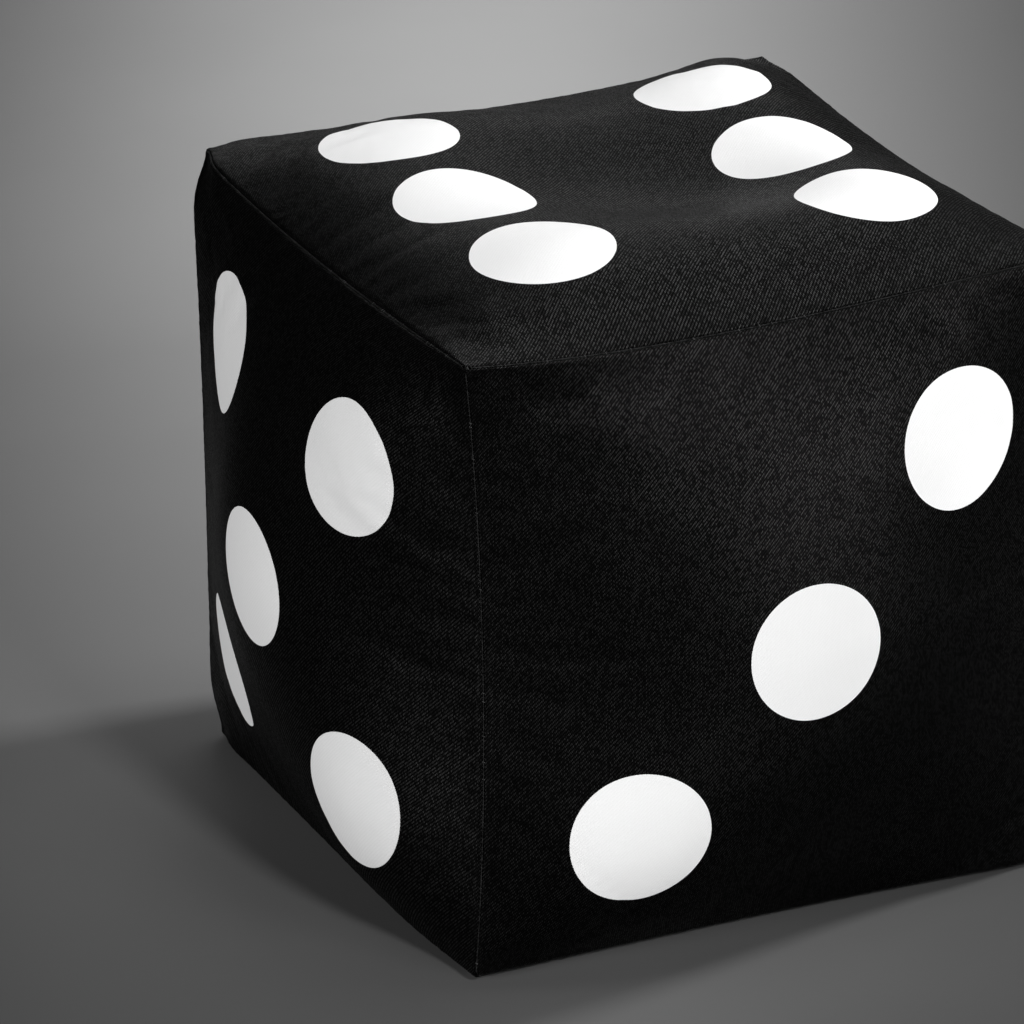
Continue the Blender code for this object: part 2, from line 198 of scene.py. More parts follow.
@dataclass(frozen=True)
class Cushion:
    """The filled cube: where its corners and seams have settled, and how each face swells."""

    zip: ZipPlace = ZipPlace()
    rim: float = 0.8

    # How far each corner has moved, in mm.
    corners = {
        (-1, -1, -1): (4, 0, 4),
        (-1, -1, 1): (-1, -1, -3),
        (-1, 1, -1): (3, -1, 1),
        (-1, 1, 1): (-3, 2, 1),
        (1, -1, -1): (-3, 0, 0),
        (1, -1, 1): (1, 0, 1),
        (1, 1, -1): (-1, -1, 1),
        (1, 1, 1): (-1, 0, -1),
    }

    # Each seam by the axis it runs along and its sides of the other two axes: how far its middle has
    # moved along the first of those, and how much more at its far end, then the same for the second.
    seams = {
        (0, -1, -1): (8, -2, -0.5, 2),
        (0, -1, 1): (-5, -3, -7, 6),
        (0, 1, -1): (-2, 0, 2, 0),
        (0, 1, 1): (-1, -4, -9, 1),
        (1, -1, -1): (-2, 2, 0, 4),
        (1, -1, 1): (1, 1, -10, -3),
        (1, 1, -1): (-2, 0, 2, 0),
        (1, 1, 1): (-3, -1, -14, 0),
        (2, -1, -1): (11, 9, 4, 21),
        (2, -1, 1): (4, 2, 2, 4),
        (2, 1, -1): (0, 5, 9, 4),
        (2, 1, 1): (-4, 1, -4, -1),
    }

    # How far the cloth right at a corner is tucked in, in mm.
    tucks = {
        (-1, 1, 1): (10, -5, -3),
        (1, 1, 1): (-7, -2, -1),
        (1, -1, 1): (-3, 2, -2),
        (-1, 1, -1): (6, -6, 0),
        (1, 1, -1): (-7, -7, 0),
        (1, -1, -1): (-8, 4, 0),
    }
    tuck_reach: float = 0.12

    faces = {
        Face.FRONT: FaceShape(
            90, 2.4, 1.8, 0.39, -0.21,
            (
                Swell(-12, 0.49, -0.76, 0.68),
                Swell(9, 0.38, 0.67, 0.43),
                Swell(-28, -0.54, -0.28, 0.53),
                Swell(-35, 0.55, 0.08, 0.69),
                Swell(27, -0.55, -0.57, 0.48),
            ),
        ),
        Face.LEFT: FaceShape(
            52.5, 2.0, 4.0, -0.36, -0.44,
            (
                Swell(4, 0.64, -0.40, 0.37),
                Swell(17, -0.62, 0.66, 0.40),
                Swell(26, -0.60, -0.71, 0.46),
                Swell(35, 0.03, -0.02, 0.60),
                Swell(-35, -0.17, -0.66, 0.90),
            ),
        ),
        Face.TOP: FaceShape(
            50, 3.3, 2.5, 0.10, -0.60,
            (
                Swell(-35, -0.05, 0.03, 0.51),
                Swell(-12, 0.29, -0.24, 0.31),
                Swell(26, -0.35, 0.49, 0.62),
                Swell(20, 0.68, 0.59, 0.41),
                Swell(5, -0.51, -0.66, 0.27),
                Swell(10, 0.76, 0.86, 0.17),
                Swell(-5, 0.25, 0.88, 0.25),
            ),
        ),
        Face.RIGHT: FaceShape(
            52, 2.5, 2.6, 0.08, -0.28,
            (Swell(7, -0.50, -0.45, 0.42), Swell(-6, 0.15, 0.60, 0.40), Swell(5, 0.52, 0.35, 0.36)),
        ),
        Face.BACK: FaceShape(
            50, 2.5, 2.6, -0.06, -0.22,
            (Swell(6, 0.48, 0.10, 0.42), Swell(-5, -0.10, 0.62, 0.38), Swell(6, -0.52, -0.15, 0.40)),
        ),
        Face.BOTTOM: FaceShape(0, 2, 2, 0, 0),
    }

    def corner(self, signs: tuple[int, ...]) -> Array:
        """How far a corner has moved, in metres."""
        return np.array(self.corners[signs], float) * MM

    def seam_shift(self, seam: Seam, t: Array) -> Array:
        """How far points of a seam have moved from the straight line between the cube's corners.

        Args:
            seam: The axis that it runs along, and its sides of the other two axes.
            t: Places along it, from -1 to 1.

        Returns:
            A shift for each place, in metres.
        """
        along, first, second = seam
        others = [axis for axis in range(3) if axis != along]
        near: list[int] = [0, 0, 0]
        near[others[0]], near[others[1]] = first, second
        far = list(near)
        near[along], far[along] = -1, 1
        bend = self.seams[seam]
        shift = np.zeros((*t.shape, 3))
        shift[..., others[0]] = (1 - t * t) * (bend[0] + bend[1] * t) * MM
        shift[..., others[1]] = (1 - t * t) * (bend[2] + bend[3] * t) * MM
        low, high = self.corner(tuple(near)), self.corner(tuple(far))
        return shift + ((1 - t) / 2)[..., None] * low + ((1 + t) / 2)[..., None] * high

    def tucked(self, cube: Array) -> Array:
        """How far the cloth round each corner is tucked in, for points of the cube from -1 to 1."""
        shift = np.zeros(cube.shape)
        for signs, move in self.tucks.items():
            distance = ((cube - signs) ** 2).sum(-1) / self.tuck_reach**2
            shift += np.exp(-distance)[..., None] * np.array(move, float) * MM
        return shift

    def seam_of(self, face: Face, along: int, side: int) -> Seam:
        """The seam that runs along one axis at one side of a face."""
        other = next(axis for axis in face.across if axis != along)
        first, second = sorted([(face.axis, face.sign), (other, side)])
        return along, first[1], second[1]

    def seam_points(self, seam: Seam, t: Array) -> Array:
        """The places of a seam, in metres."""
        along, first, second = seam
        others = [axis for axis in range(3) if axis != along]
        place = np.zeros((*t.shape, 3))
        place[..., along] = t * HALF
        place[..., others[0]] = first * HALF
        place[..., others[1]] = second * HALF
        tuck = self.tucked(place / HALF)
        place[..., 2] += HALF
        return place + self.seam_shift(seam, t) + tuck

    def at(self, face: Face, u: Array, v: Array, inset: float = 0.0, base: float = 0.0) -> Array:
        """The cushion's skin, or a layer inside it.

        Args:
            face: The face that the places are on.
            u: Places across the face, from -1 to 1.
            v: Places up the face, from -1 to 1.
            inset: How far inside the cover the layer lies, in metres.
            base: How high over the ground the layer's underside lies, in metres.

        Returns:
            A point for each place, in metres.
        """
        across, up = face.across
        cube = np.zeros((*u.shape, 3))
        cube[..., face.axis], cube[..., across], cube[..., up] = face.sign, u, v
        place = cube * (HALF - inset)
        place[..., 2] = base + (cube[..., 2] + 1) / 2 * (SIDE - inset - base)
        sides = [self.seam_shift(self.seam_of(face, up, side), v) for side in (-1, 1)]
        ends = [self.seam_shift(self.seam_of(face, across, side), u) for side in (-1, 1)]
        left, right = ((1 - u) / 2)[..., None], ((1 + u) / 2)[..., None]
        low, high = ((1 - v) / 2)[..., None], ((1 + v) / 2)[..., None]
        shift = left * sides[0] + right * sides[1] + low * ends[0] + high * ends[1]
        for u_side, u_share in ((-1, left), (1, right)):
            for v_side, v_share in ((-1, low), (1, high)):
                signs = [0, 0, 0]
                signs[face.axis], signs[across], signs[up] = face.sign, u_side, v_side
                shift = shift - u_share * v_share * self.corner(tuple(signs))
        shift = shift + self.tucked(cube)
        height = self.faces[face].height(u, v)
        if face is Face.BOTTOM:
            rim = (np.maximum(abs(u), abs(v)) - self.rim) / (1 - self.rim)
            shift[..., 2] = np.maximum(shift[..., 2], 0) * smooth(rim)
        if face is Face.BACK:
            near = np.exp(-(((v - self.zip.v) * HALF / self.zip.reach) ** 2))
            beyond = np.maximum(abs(u) - self.zip.straight_u, 0) / (1 - self.zip.straight_u)
            held = (self.zip.face - HALF) * (1 - beyond**2) * (1 - v * v) / (1 - self.zip.v**2)
            height = height * (1 - near) + held * near
            shift = shift * (1 - near * (1 - abs(u) ** 16))[..., None]
        place = place + shift
        place[..., face.axis] += face.sign * height
        place[..., 2] = np.maximum(place[..., 2], base)
        return place

    def out(self, face: Face, u: Array, v: Array) -> Array:
        """The outward directions of the skin at some places on a face."""
        step = 2e-3
        u_low, u_high = np.clip(u - step, -1, 1), np.clip(u + step, -1, 1)
        v_low, v_high = np.clip(v - step, -1, 1), np.clip(v + step, -1, 1)
        along = self.at(face, u_high, v) - self.at(face, u_low, v)
        up = self.at(face, u, v_high) - self.at(face, u, v_low)
        way = np.cross(along, up) * (-1 if face.mirrored else 1)
        return way / np.maximum(np.linalg.norm(way, axis=-1, keepdims=True), 1e-12)


# ---------------------------------------------------------------------------------------------------
# Meshes and materials in a few words
# ---------------------------------------------------------------------------------------------------


def shown(name: str, mesh: bpy.types.Mesh, material: bpy.types.Material | None = None) -> bpy.types.Object:
    """A new object in the scene, at the origin, smooth and with one material.

    Args:
        name: The piece's name.
        mesh: Its mesh, with its place in it.
        material: Its finish, where the mesh has none yet.

    Returns:
        The object.
    """
    if material is not None:
        mesh.materials.clear()
        mesh.materials.append(material)
    mesh.polygons.foreach_set("use_smooth", np.ones(len(mesh.polygons), bool))
    made = bpy.data.objects.new(name, mesh)
    bpy.context.scene.collection.objects.link(made)
    return made


def mesh_from(name: str, points: Array, quads: Array, uv: Array | None = None) -> bpy.types.Mesh:
    """A mesh of four-sided faces.

    Args:
        name: The mesh's name.
        points: Its points, one row each.
        quads: The four point numbers of each face.
        uv: A place on the flat cloth for each point, if it has one.

    Returns:
        The mesh.
    """
    mesh = bpy.data.meshes.new(name)
    mesh.from_pydata(points.tolist(), [], quads.tolist())
    if uv is not None:
        layer = mesh.uv_layers.new(name="cloth")
        layer.data.foreach_set("uv", uv[quads.ravel()].astype(np.float32).ravel())
    mesh.validate()
    mesh.update()
    return mesh


def grid_quads(rows: int, columns: int, flip: bool) -> Array:
    """The faces of a grid of points, row by row, as (rows - 1, columns - 1, 4) numbers."""
    number = np.arange(rows * columns).reshape(rows, columns)
    quads = [number[:-1, :-1], number[:-1, 1:], number[1:, 1:], number[1:, :-1]]
    return np.stack(quads[::-1] if flip else quads, axis=-1)


def welded(points: Array, quads: Array) -> tuple[Array, Array, Array]:
    """Joins points that lie in the same place.

    Args:
        points: All the points.
        quads: The faces, as numbers of those points.

    Returns:
        The points left, the faces as their numbers, and the new number of each old point.
    """
    keys = np.round(points * 2e5).astype(np.int64)
    _, first, number = np.unique(keys, axis=0, return_index=True, return_inverse=True)
    number = number.ravel()
    return points[first], number[quads], number


def thicken(piece: bpy.types.Object, cloth: float) -> None:
    """Gives a sheet its thickness, on the inner side."""
    wall = piece.modifiers.new("cloth", "SOLIDIFY")
    wall.thickness = cloth
    wall.offset = -1
    wall.use_quality_normals = True


class Nodes:
    """Adds nodes to a shader tree and links them."""

    def __init__(self, tree: bpy.types.NodeTree) -> None:
        """Keeps the tree."""
        self.tree = tree

    def add(self, kind: str, inputs: dict | None = None, **settings: object) -> bpy.types.Node:
        """A node of a kind, with some of its inputs and settings given."""
        node = self.tree.nodes.new(kind)
        for name, value in settings.items():
            setattr(node, name, value)
        for name, value in (inputs or {}).items():
            self.give(node.inputs[name], value)
        return node

    def give(self, socket: bpy.types.NodeSocket, value: object) -> None:
        """Links a socket to another, or sets its value."""
        if isinstance(value, bpy.types.NodeSocket):
            self.tree.links.new(value, socket)
        elif socket.type == "RGBA" and len(value) == 3:
            socket.default_value = (*value, 1)
        else:
            socket.default_value = value

    def math(self, operation: str, *values: object) -> bpy.types.NodeSocket:
        """The result of a sum on one to three numbers."""
        node = self.add("ShaderNodeMath", operation=operation)
        for socket, value in zip(node.inputs, values):
            self.give(socket, value)
        return node.outputs[0]

    def vector(self, operation: str, *values: object) -> bpy.types.NodeSocket:
        """The result of a sum on vectors."""
        node = self.add("ShaderNodeVectorMath", operation=operation)
        vectors = [socket for socket in node.inputs if socket.type == "VECTOR"]
        for socket, value in zip(vectors, values):
            self.give(socket, value)
        if operation == "SCALE":
            self.give(node.inputs["Scale"], values[1])
        return node.outputs["Value" if operation in ("DISTANCE", "LENGTH") else "Vector"]

    def noise(self, place: object, scale: float, detail: float = 2.0) -> bpy.types.NodeSocket:
        """Smooth noise from 0 to 1."""
        given = {"Vector": place, "Scale": scale, "Detail": detail}
        return self.add("ShaderNodeTexNoise", given).outputs[0]

    def ramp(self, value: object, low: float, high: float, start: float = 0, end: float = 1) -> bpy.types.NodeSocket:
        """A smooth rise from start to end as a value goes from low to high."""
        given = {"Value": value, "From Min": low, "From Max": high, "To Min": start, "To Max": end}
        return self.add("ShaderNodeMapRange", given, interpolation_type="SMOOTHSTEP").outputs[0]

    def mix(self, share: object, first: object, second: object) -> bpy.types.NodeSocket:
        """A colour between two."""
        node = self.add("ShaderNodeMix", data_type="RGBA")
        colours = [socket for socket in node.inputs if socket.type == "RGBA"]
        self.give(node.inputs["Factor"], share)
        self.give(colours[0], first)
        self.give(colours[1], second)
        return next(socket for socket in node.outputs if socket.type == "RGBA")

    def group(self, tree: bpy.types.NodeTree, inputs: dict) -> bpy.types.Node:
        """Places a node group."""
        node = self.tree.nodes.new("ShaderNodeGroup")
        node.node_tree = tree
        for name, value in inputs.items():
            self.give(node.inputs[name], value)
        return node


class ShaderGroup:
    """A shared effect: a shader node group with named inputs and outputs."""

    def __init__(self, name: str, inputs: dict[str, object], outputs: dict[str, str]) -> None:
        """Makes the group's sockets; an input given as None is a vector."""
        self.tree = bpy.data.node_groups.new(name, "ShaderNodeTree")
        for label, value in inputs.items():
            kind = "NodeSocketVector" if value is None else "NodeSocketFloat"
            made = self.tree.interface.new_socket(label, in_out="INPUT", socket_type=kind)
            if value is not None:
                made.default_value = value
        for label, kind in outputs.items():
            self.tree.interface.new_socket(label, in_out="OUTPUT", socket_type=f"NodeSocket{kind}")
        self.nodes = Nodes(self.tree)
        self.inputs = self.nodes.add("NodeGroupInput").outputs
        self.outputs = self.nodes.add("NodeGroupOutput").inputs

    def put(self, **values: bpy.types.NodeSocket) -> bpy.types.NodeTree:
        """Links the results to the outputs, and gives the finished tree."""
        for name, value in values.items():
            self.nodes.give(self.outputs[name.replace("_", " ")], value)
        return self.tree


def twill_group() -> bpy.types.NodeTree:
    """Twill weave: yarns that float over two others and under one, each row a step on.

    Returns:
        A group with the surface's Height, each yarn's own Shade, and the Gap between yarns.
    """
    given = {"Vector": None, "Yarn Width": 0.0009, "Waver": 0.0004}
    made = ShaderGroup("twill_weave", given, {"Height": "Float", "Shade": "Float", "Gap": "Float"})
    nodes, flat = made.nodes, made.inputs["Vector"]
    drift = nodes.add("ShaderNodeTexNoise", {"Vector": flat, "Scale": 45.0, "Detail": 1.0}).outputs["Color"]
    drift = nodes.vector("SCALE", nodes.vector("SUBTRACT", drift, (0.5, 0.5, 0.5)), made.inputs["Waver"])
    place = nodes.add("ShaderNodeSeparateXYZ", {"Vector": nodes.vector("ADD", flat, drift)}).outputs
    across = nodes.math("DIVIDE", place["X"], made.inputs["Yarn Width"])
    along = nodes.math("DIVIDE", place["Y"], made.inputs["Yarn Width"])
    yarn = nodes.math("FLOOR", across)
    step = nodes.math("DIVIDE", nodes.math("SUBTRACT", along, yarn), 3.0)
    over = nodes.math("DIVIDE", nodes.math("FRACT", step), 0.72)
    side = nodes.math("SINE", nodes.math("MULTIPLY", nodes.math("FRACT", across), math.pi))
    arch = nodes.math("SINE", nodes.math("MULTIPLY", nodes.math("MINIMUM", over, 1.0), math.pi))
    warp = nodes.math("MULTIPLY", nodes.math("POWER", side, 0.6), nodes.math("POWER", arch, 0.5))
    weft = nodes.math("SINE", nodes.math("MULTIPLY", nodes.math("FRACT", along), math.pi))
    weft = nodes.math("MULTIPLY", weft, 0.40)
    height = nodes.math("MAXIMUM", warp, weft)
    which = nodes.add("ShaderNodeCombineXYZ", {"X": yarn, "Y": nodes.math("FLOOR", step)}).outputs[0]
    shade = nodes.add("ShaderNodeTexWhiteNoise", {"Vector": which}, noise_dimensions="2D").outputs["Value"]
    return made.put(Height=height, Shade=shade, Gap=nodes.ramp(height, 0.05, 0.45, 1.0, 0.0))


def dot_group() -> bpy.types.NodeTree:
    """How far a place is from the nearest printed dot's middle, one dot at a time."""
    made = ShaderGroup("nearest_dot", {"Vector": None, "Middle": None, "Nearest": 1.0}, {"Nearest": "Float"})
    distance = made.nodes.vector("DISTANCE", made.inputs["Vector"], made.inputs["Middle"])
    return made.put(Nearest=made.nodes.math("MINIMUM", made.inputs["Nearest"], distance))


def print_group() -> bpy.types.NodeTree:
    """Printed ink: a crisp edge that the yarns break up a little, and thin spots in it."""
    given = {"Vector": None, "Nearest": 1.0, "Radius": 0.048, "Weave": 0.5, "Ragged": 0.00015}
    made = ShaderGroup("printed_ink", given, {"Ink": "Float", "Thin": "Float"})
    nodes = made.nodes
    tooth = nodes.math("MULTIPLY", nodes.math("SUBTRACT", made.inputs["Weave"], 0.5), made.inputs["Ragged"])
    stray = nodes.math("SUBTRACT", nodes.noise(made.inputs["Vector"], 160.0), 0.5)
    stray = nodes.math("MULTIPLY", stray, made.inputs["Ragged"])
    edge = nodes.math("ADD", nodes.math("ADD", made.inputs["Nearest"], tooth), stray)
    inside = nodes.math("SUBTRACT", made.inputs["Radius"], edge)
    thin = nodes.ramp(nodes.noise(made.inputs["Vector"], 900.0, 3.0), 0.60, 0.78)
    return made.put(Ink=nodes.ramp(inside, -0.00012, 0.00012), Thin=thin)


def highlight_and_cloud_group() -> bpy.types.NodeTree:
    """Painted highlight and cloud: the cloth painted a little paler along its seams, in patches, where the rolled
    edges catch the light, and cloudy wear over the middle.
    """
    made = ShaderGroup("rubbed_cloth", {"Vector": None, "Half": HALF}, {"Rubbed": "Float", "Cloud": "Float"})
    nodes = made.nodes
    place = nodes.add("ShaderNodeSeparateXYZ", {"Vector": made.inputs["Vector"]}).outputs
    far = nodes.math("MAXIMUM", nodes.math("ABSOLUTE", place["X"]), nodes.math("ABSOLUTE", place["Y"]))
    near = nodes.ramp(nodes.math("SUBTRACT", made.inputs["Half"], far), 0.0, 0.010, 1.0, 0.0)
    patches = nodes.ramp(nodes.noise(made.inputs["Vector"], 60.0, 4.0), 0.40, 0.65)
    cloud = nodes.noise(made.inputs["Vector"], 7.0, 3.0)
    return made.put(Rubbed=nodes.math("MULTIPLY", near, patches), Cloud=cloud)


def lint_group() -> bpy.types.NodeTree:
    """Sparse specks of lint and short loose fibres."""
    made = ShaderGroup("lint", {"Vector": None, "Amount": 0.5}, {"Lint": "Float"})
    nodes = made.nodes
    cells = nodes.add("ShaderNodeTexVoronoi", {"Vector": made.inputs["Vector"], "Scale": 140.0}).outputs
    speck = nodes.ramp(cells["Distance"], 0.02, 0.07, 1.0, 0.0)
    chosen = nodes.add("ShaderNodeSeparateColor", {"Color": cells["Color"]}).outputs[0]
    chosen = nodes.math("GREATER_THAN", chosen, nodes.math("SUBTRACT", 1.0, made.inputs["Amount"]))
    return made.put(Lint=nodes.math("MULTIPLY", speck, chosen))


def grain_group() -> bpy.types.NodeTree:
    """Fine grain at two sizes, for thread, nylon and metal."""
    made = ShaderGroup("fine_grain", {"Vector": None, "Size": 0.001}, {"Grain": "Float", "Patch": "Float"})
    nodes = made.nodes
    place = nodes.vector("SCALE", made.inputs["Vector"], nodes.math("DIVIDE", 1.0, made.inputs["Size"]))
    return made.put(Grain=nodes.noise(place, 1.0, 4.0), Patch=nodes.noise(place, 0.12, 2.0))


@dataclass(frozen=True)
class Effects:
    """The shader groups that the finishes share."""

    twill: bpy.types.NodeTree
    dot: bpy.types.NodeTree
    ink: bpy.types.NodeTree
    highlight_and_cloud: bpy.types.NodeTree
    lint: bpy.types.NodeTree
    grain: bpy.types.NodeTree

    @staticmethod
    def make() -> "Effects":
        """Builds each group once."""
        return Effects(twill_group(), dot_group(), print_group(), highlight_and_cloud_group(), lint_group(), grain_group())


def new_material(name: str) -> tuple[bpy.types.Material, Nodes, bpy.types.Node]:
    """A material, its nodes and its shader.

    Args:
        name: The material's name.

    Returns:
        The material, a builder for its nodes, and its Principled BSDF.
    """
    made = bpy.data.materials.new(name)
    made.use_nodes = True
    return made, Nodes(made.node_tree), made.node_tree.nodes["Principled BSDF"]


Colour = tuple[float, float, float]


@dataclass(frozen=True)
class TwillFinish:
    """Woven polyester: its colours, yarn, sheen and how much use it shows."""

    deep: Colour = (0.0005, 0.0005, 0.0005)
    # The colour painted on the yarns' crowns and along the seams as painted highlight.
    painted_highlight: Colour = (0.0024, 0.0023, 0.0024)
    ink: Colour = (0.86, 0.86, 0.86)
    yarn: float = 0.00090
    roughness: float = 0.42
    ink_roughness: float = 0.70
    specular: float = 0.015
    gloss_roughness: float = 0.45
    gloss_ior: float = 1.46
    sheen: float = 0.0
    relief: float = 0.00028
    lint: float = 0.05
    dot_radius: float = 0.0484

    def material(self, name: str, effects: Effects, dots: tuple[tuple[float, float], ...] = ()) -> bpy.types.Material:
        """The cloth, with dots printed on it.

        Args:
            name: The material's name.
            effects: The shared groups.
            dots: The middle of each printed dot on the flat cloth.

        Returns:
            The material.
        """
        made, nodes, shader = new_material(name)
        flat = nodes.add("ShaderNodeUVMap", uv_map="cloth").outputs[0]
        weave = nodes.group(effects.twill, {"Vector": flat, "Yarn Width": self.yarn}).outputs
        highlight_and_cloud = nodes.group(effects.highlight_and_cloud, {"Vector": flat}).outputs
        lint = nodes.group(effects.lint, {"Vector": flat, "Amount": self.lint}).outputs["Lint"]
        # Painted highlight: the yarns' crowns get the lighter colour, more on some yarns than others, and the gaps
        # between them stay dark as painted shade.
        crown = nodes.ramp(weave["Height"], 0.40, 0.90)
        yarn_highlight = nodes.math("MULTIPLY", nodes.math("POWER", weave["Shade"], 2.2), crown)
        yarn_highlight = nodes.math("MULTIPLY", yarn_highlight, nodes.ramp(highlight_and_cloud["Cloud"], 0.3, 0.7, 0.75, 1.15))
        cloth = nodes.mix(yarn_highlight, self.deep, self.painted_highlight)
        # Painted highlight: the cloth paler along the seams, where the rolled edges catch the light.
        cloth = nodes.mix(nodes.math("MULTIPLY", highlight_and_cloud["Rubbed"], 0.35), cloth, self.painted_highlight)
        cloth = nodes.mix(nodes.math("MULTIPLY", lint, 0.30), cloth, (0.16, 0.16, 0.16))
        nearest: object = 1.0
        for x, y in dots:
            given = {"Vector": flat, "Middle": (x, y, 0.0), "Nearest": nearest}
            nearest = nodes.group(effects.dot, given).outputs[0]
        given = {"Vector": flat, "Nearest": nearest, "Radius": self.dot_radius, "Weave": weave["Height"]}
        printed = nodes.group(effects.ink, given).outputs
        # Painted shade: the ink is greyer in the gaps between the yarns.
        ink = nodes.mix(nodes.math("MULTIPLY", weave["Gap"], 0.16), self.ink, (0.42, 0.42, 0.43))
        ink = nodes.mix(nodes.math("MULTIPLY", printed["Thin"], 0.10), ink, (0.5, 0.5, 0.5))
        nodes.give(shader.inputs["Base Color"], nodes.mix(printed["Ink"], cloth, ink))
        rough = nodes.math("MULTIPLY_ADD", weave["Gap"], 0.15, self.roughness)
        rough = nodes.math("MULTIPLY_ADD", printed["Ink"], self.ink_roughness - self.roughness, rough)
        nodes.give(shader.inputs["Roughness"], rough)
        gloss = nodes.math("MULTIPLY", crown, nodes.ramp(weave["Shade"], 0.0, 1.0, 0.15, 1.0))
        gloss = nodes.math("MULTIPLY", gloss, nodes.ramp(printed["Ink"], 0.0, 1.0, 1.0, 0.0))
        nodes.give(shader.inputs["Coat Weight"], gloss)
        press = nodes.math("MULTIPLY_ADD", printed["Ink"], -0.55, 1.0)
        bump = nodes.add("ShaderNodeBump", {"Strength": 0.8, "Distance": self.relief})
        nodes.give(bump.inputs["Height"], nodes.math("MULTIPLY", weave["Height"], press))
        nodes.give(shader.inputs["Normal"], bump.outputs[0])
        shader.inputs["Specular IOR Level"].default_value = self.specular
        shader.inputs["Coat Roughness"].default_value = self.gloss_roughness
        shader.inputs["Coat IOR"].default_value = self.gloss_ior
        shader.inputs["Sheen Weight"].default_value = self.sheen
        shader.inputs["Sheen Roughness"].default_value = 0.35
        return made


@dataclass(frozen=True)
class GrainFinish:
    """Thread, nylon, painted metal or beads: two colours of fine grain on the piece's own place."""

    dark: Colour
    light: Colour
    roughness: float
    grain: float
    relief: float
    metallic: float = 0.0
    glint: float = 0.0
    specular: float = 0.5

    def material(self, name: str, effects: Effects) -> bpy.types.Material:
        """The finish as a material.

        Args:
            name: The material's name.
            effects: The shared groups.

        Returns:
            The material.
        """
        made, nodes, shader = new_material(name)
        place = nodes.add("ShaderNodeTexCoord").outputs["Object"]
        grain = nodes.group(effects.grain, {"Vector": place, "Size": self.grain}).outputs
        share = nodes.ramp(nodes.math("MULTIPLY", grain["Grain"], grain["Patch"]), 0.12, 0.42)
        # Painted glints: stitches with a high glint value get the light colour.
        if self.glint:
            own = nodes.add("ShaderNodeAttribute", attribute_name="glint").outputs["Fac"]
            share = nodes.math("ADD", nodes.math("MULTIPLY", share, 0.3), nodes.ramp(own, 1 - self.glint, 1.0))
        nodes.give(shader.inputs["Base Color"], nodes.mix(share, self.dark, self.light))
        nodes.give(shader.inputs["Roughness"], nodes.math("MULTIPLY_ADD", grain["Patch"], 0.15, self.roughness))
        bump = nodes.add("ShaderNodeBump", {"Strength": 0.6, "Distance": self.relief, "Height": grain["Grain"]})
        nodes.give(shader.inputs["Normal"], bump.outputs[0])
        shader.inputs["Metallic"].default_value = self.metallic
        shader.inputs["Specular IOR Level"].default_value = self.specular
        return made


class Finish(Enum):
    """The finishes, with the values of each."""

    THREAD = GrainFinish(
        (0.001, 0.001, 0.001), (0.09, 0.09, 0.09), 0.55, 0.0004, 0.0001, glint=0.14, specular=0.08
    )
    COIL = GrainFinish((0.008, 0.008, 0.008), (0.022, 0.022, 0.022), 0.32, 0.0008, 0.00004)
    METAL = GrainFinish((0.020, 0.020, 0.021), (0.16, 0.16, 0.16), 0.34, 0.0016, 0.00005, metallic=1.0)
    LINER_THREAD = GrainFinish((0.55, 0.55, 0.53), (0.74, 0.74, 0.72), 0.6, 0.0005, 0.0001)


@dataclass(frozen=True)
class BeadFinish:
    """Expanded foam beads, packed: round cells with shaded gaps."""

    bead: float = 0.0034

    def material(self, name: str, effects: Effects) -> bpy.types.Material:
        """The beads as a material.

        Args:
            name: The material's name.
            effects: The shared groups.

        Returns:
            The material.
        """
        made, nodes, shader = new_material(name)
        place = nodes.add("ShaderNodeTexCoord").outputs["Object"]
        cells = nodes.add("ShaderNodeTexVoronoi", {"Vector": place, "Scale": 1 / self.bead}).outputs
        grain = nodes.group(effects.grain, {"Vector": place, "Size": 0.0006}).outputs["Grain"]
        gap = nodes.ramp(cells["Distance"], 0.35, 0.75)
        nodes.give(shader.inputs["Base Color"], nodes.mix(gap, (0.86, 0.86, 0.85), (0.42, 0.42, 0.42)))
        nodes.give(shader.inputs["Roughness"], nodes.math("MULTIPLY_ADD", grain, 0.2, 0.5))
        height = nodes.math("SUBTRACT", 1.0, nodes.math("POWER", cells["Distance"], 2.0))
        bump = nodes.add("ShaderNodeBump", {"Strength": 0.9, "Distance": self.bead / 2, "Height": height})
        nodes.give(shader.inputs["Normal"], bump.outputs[0])
        return made


# ---------------------------------------------------------------------------------------------------
# The cloth's own relief
# ---------------------------------------------------------------------------------------------------


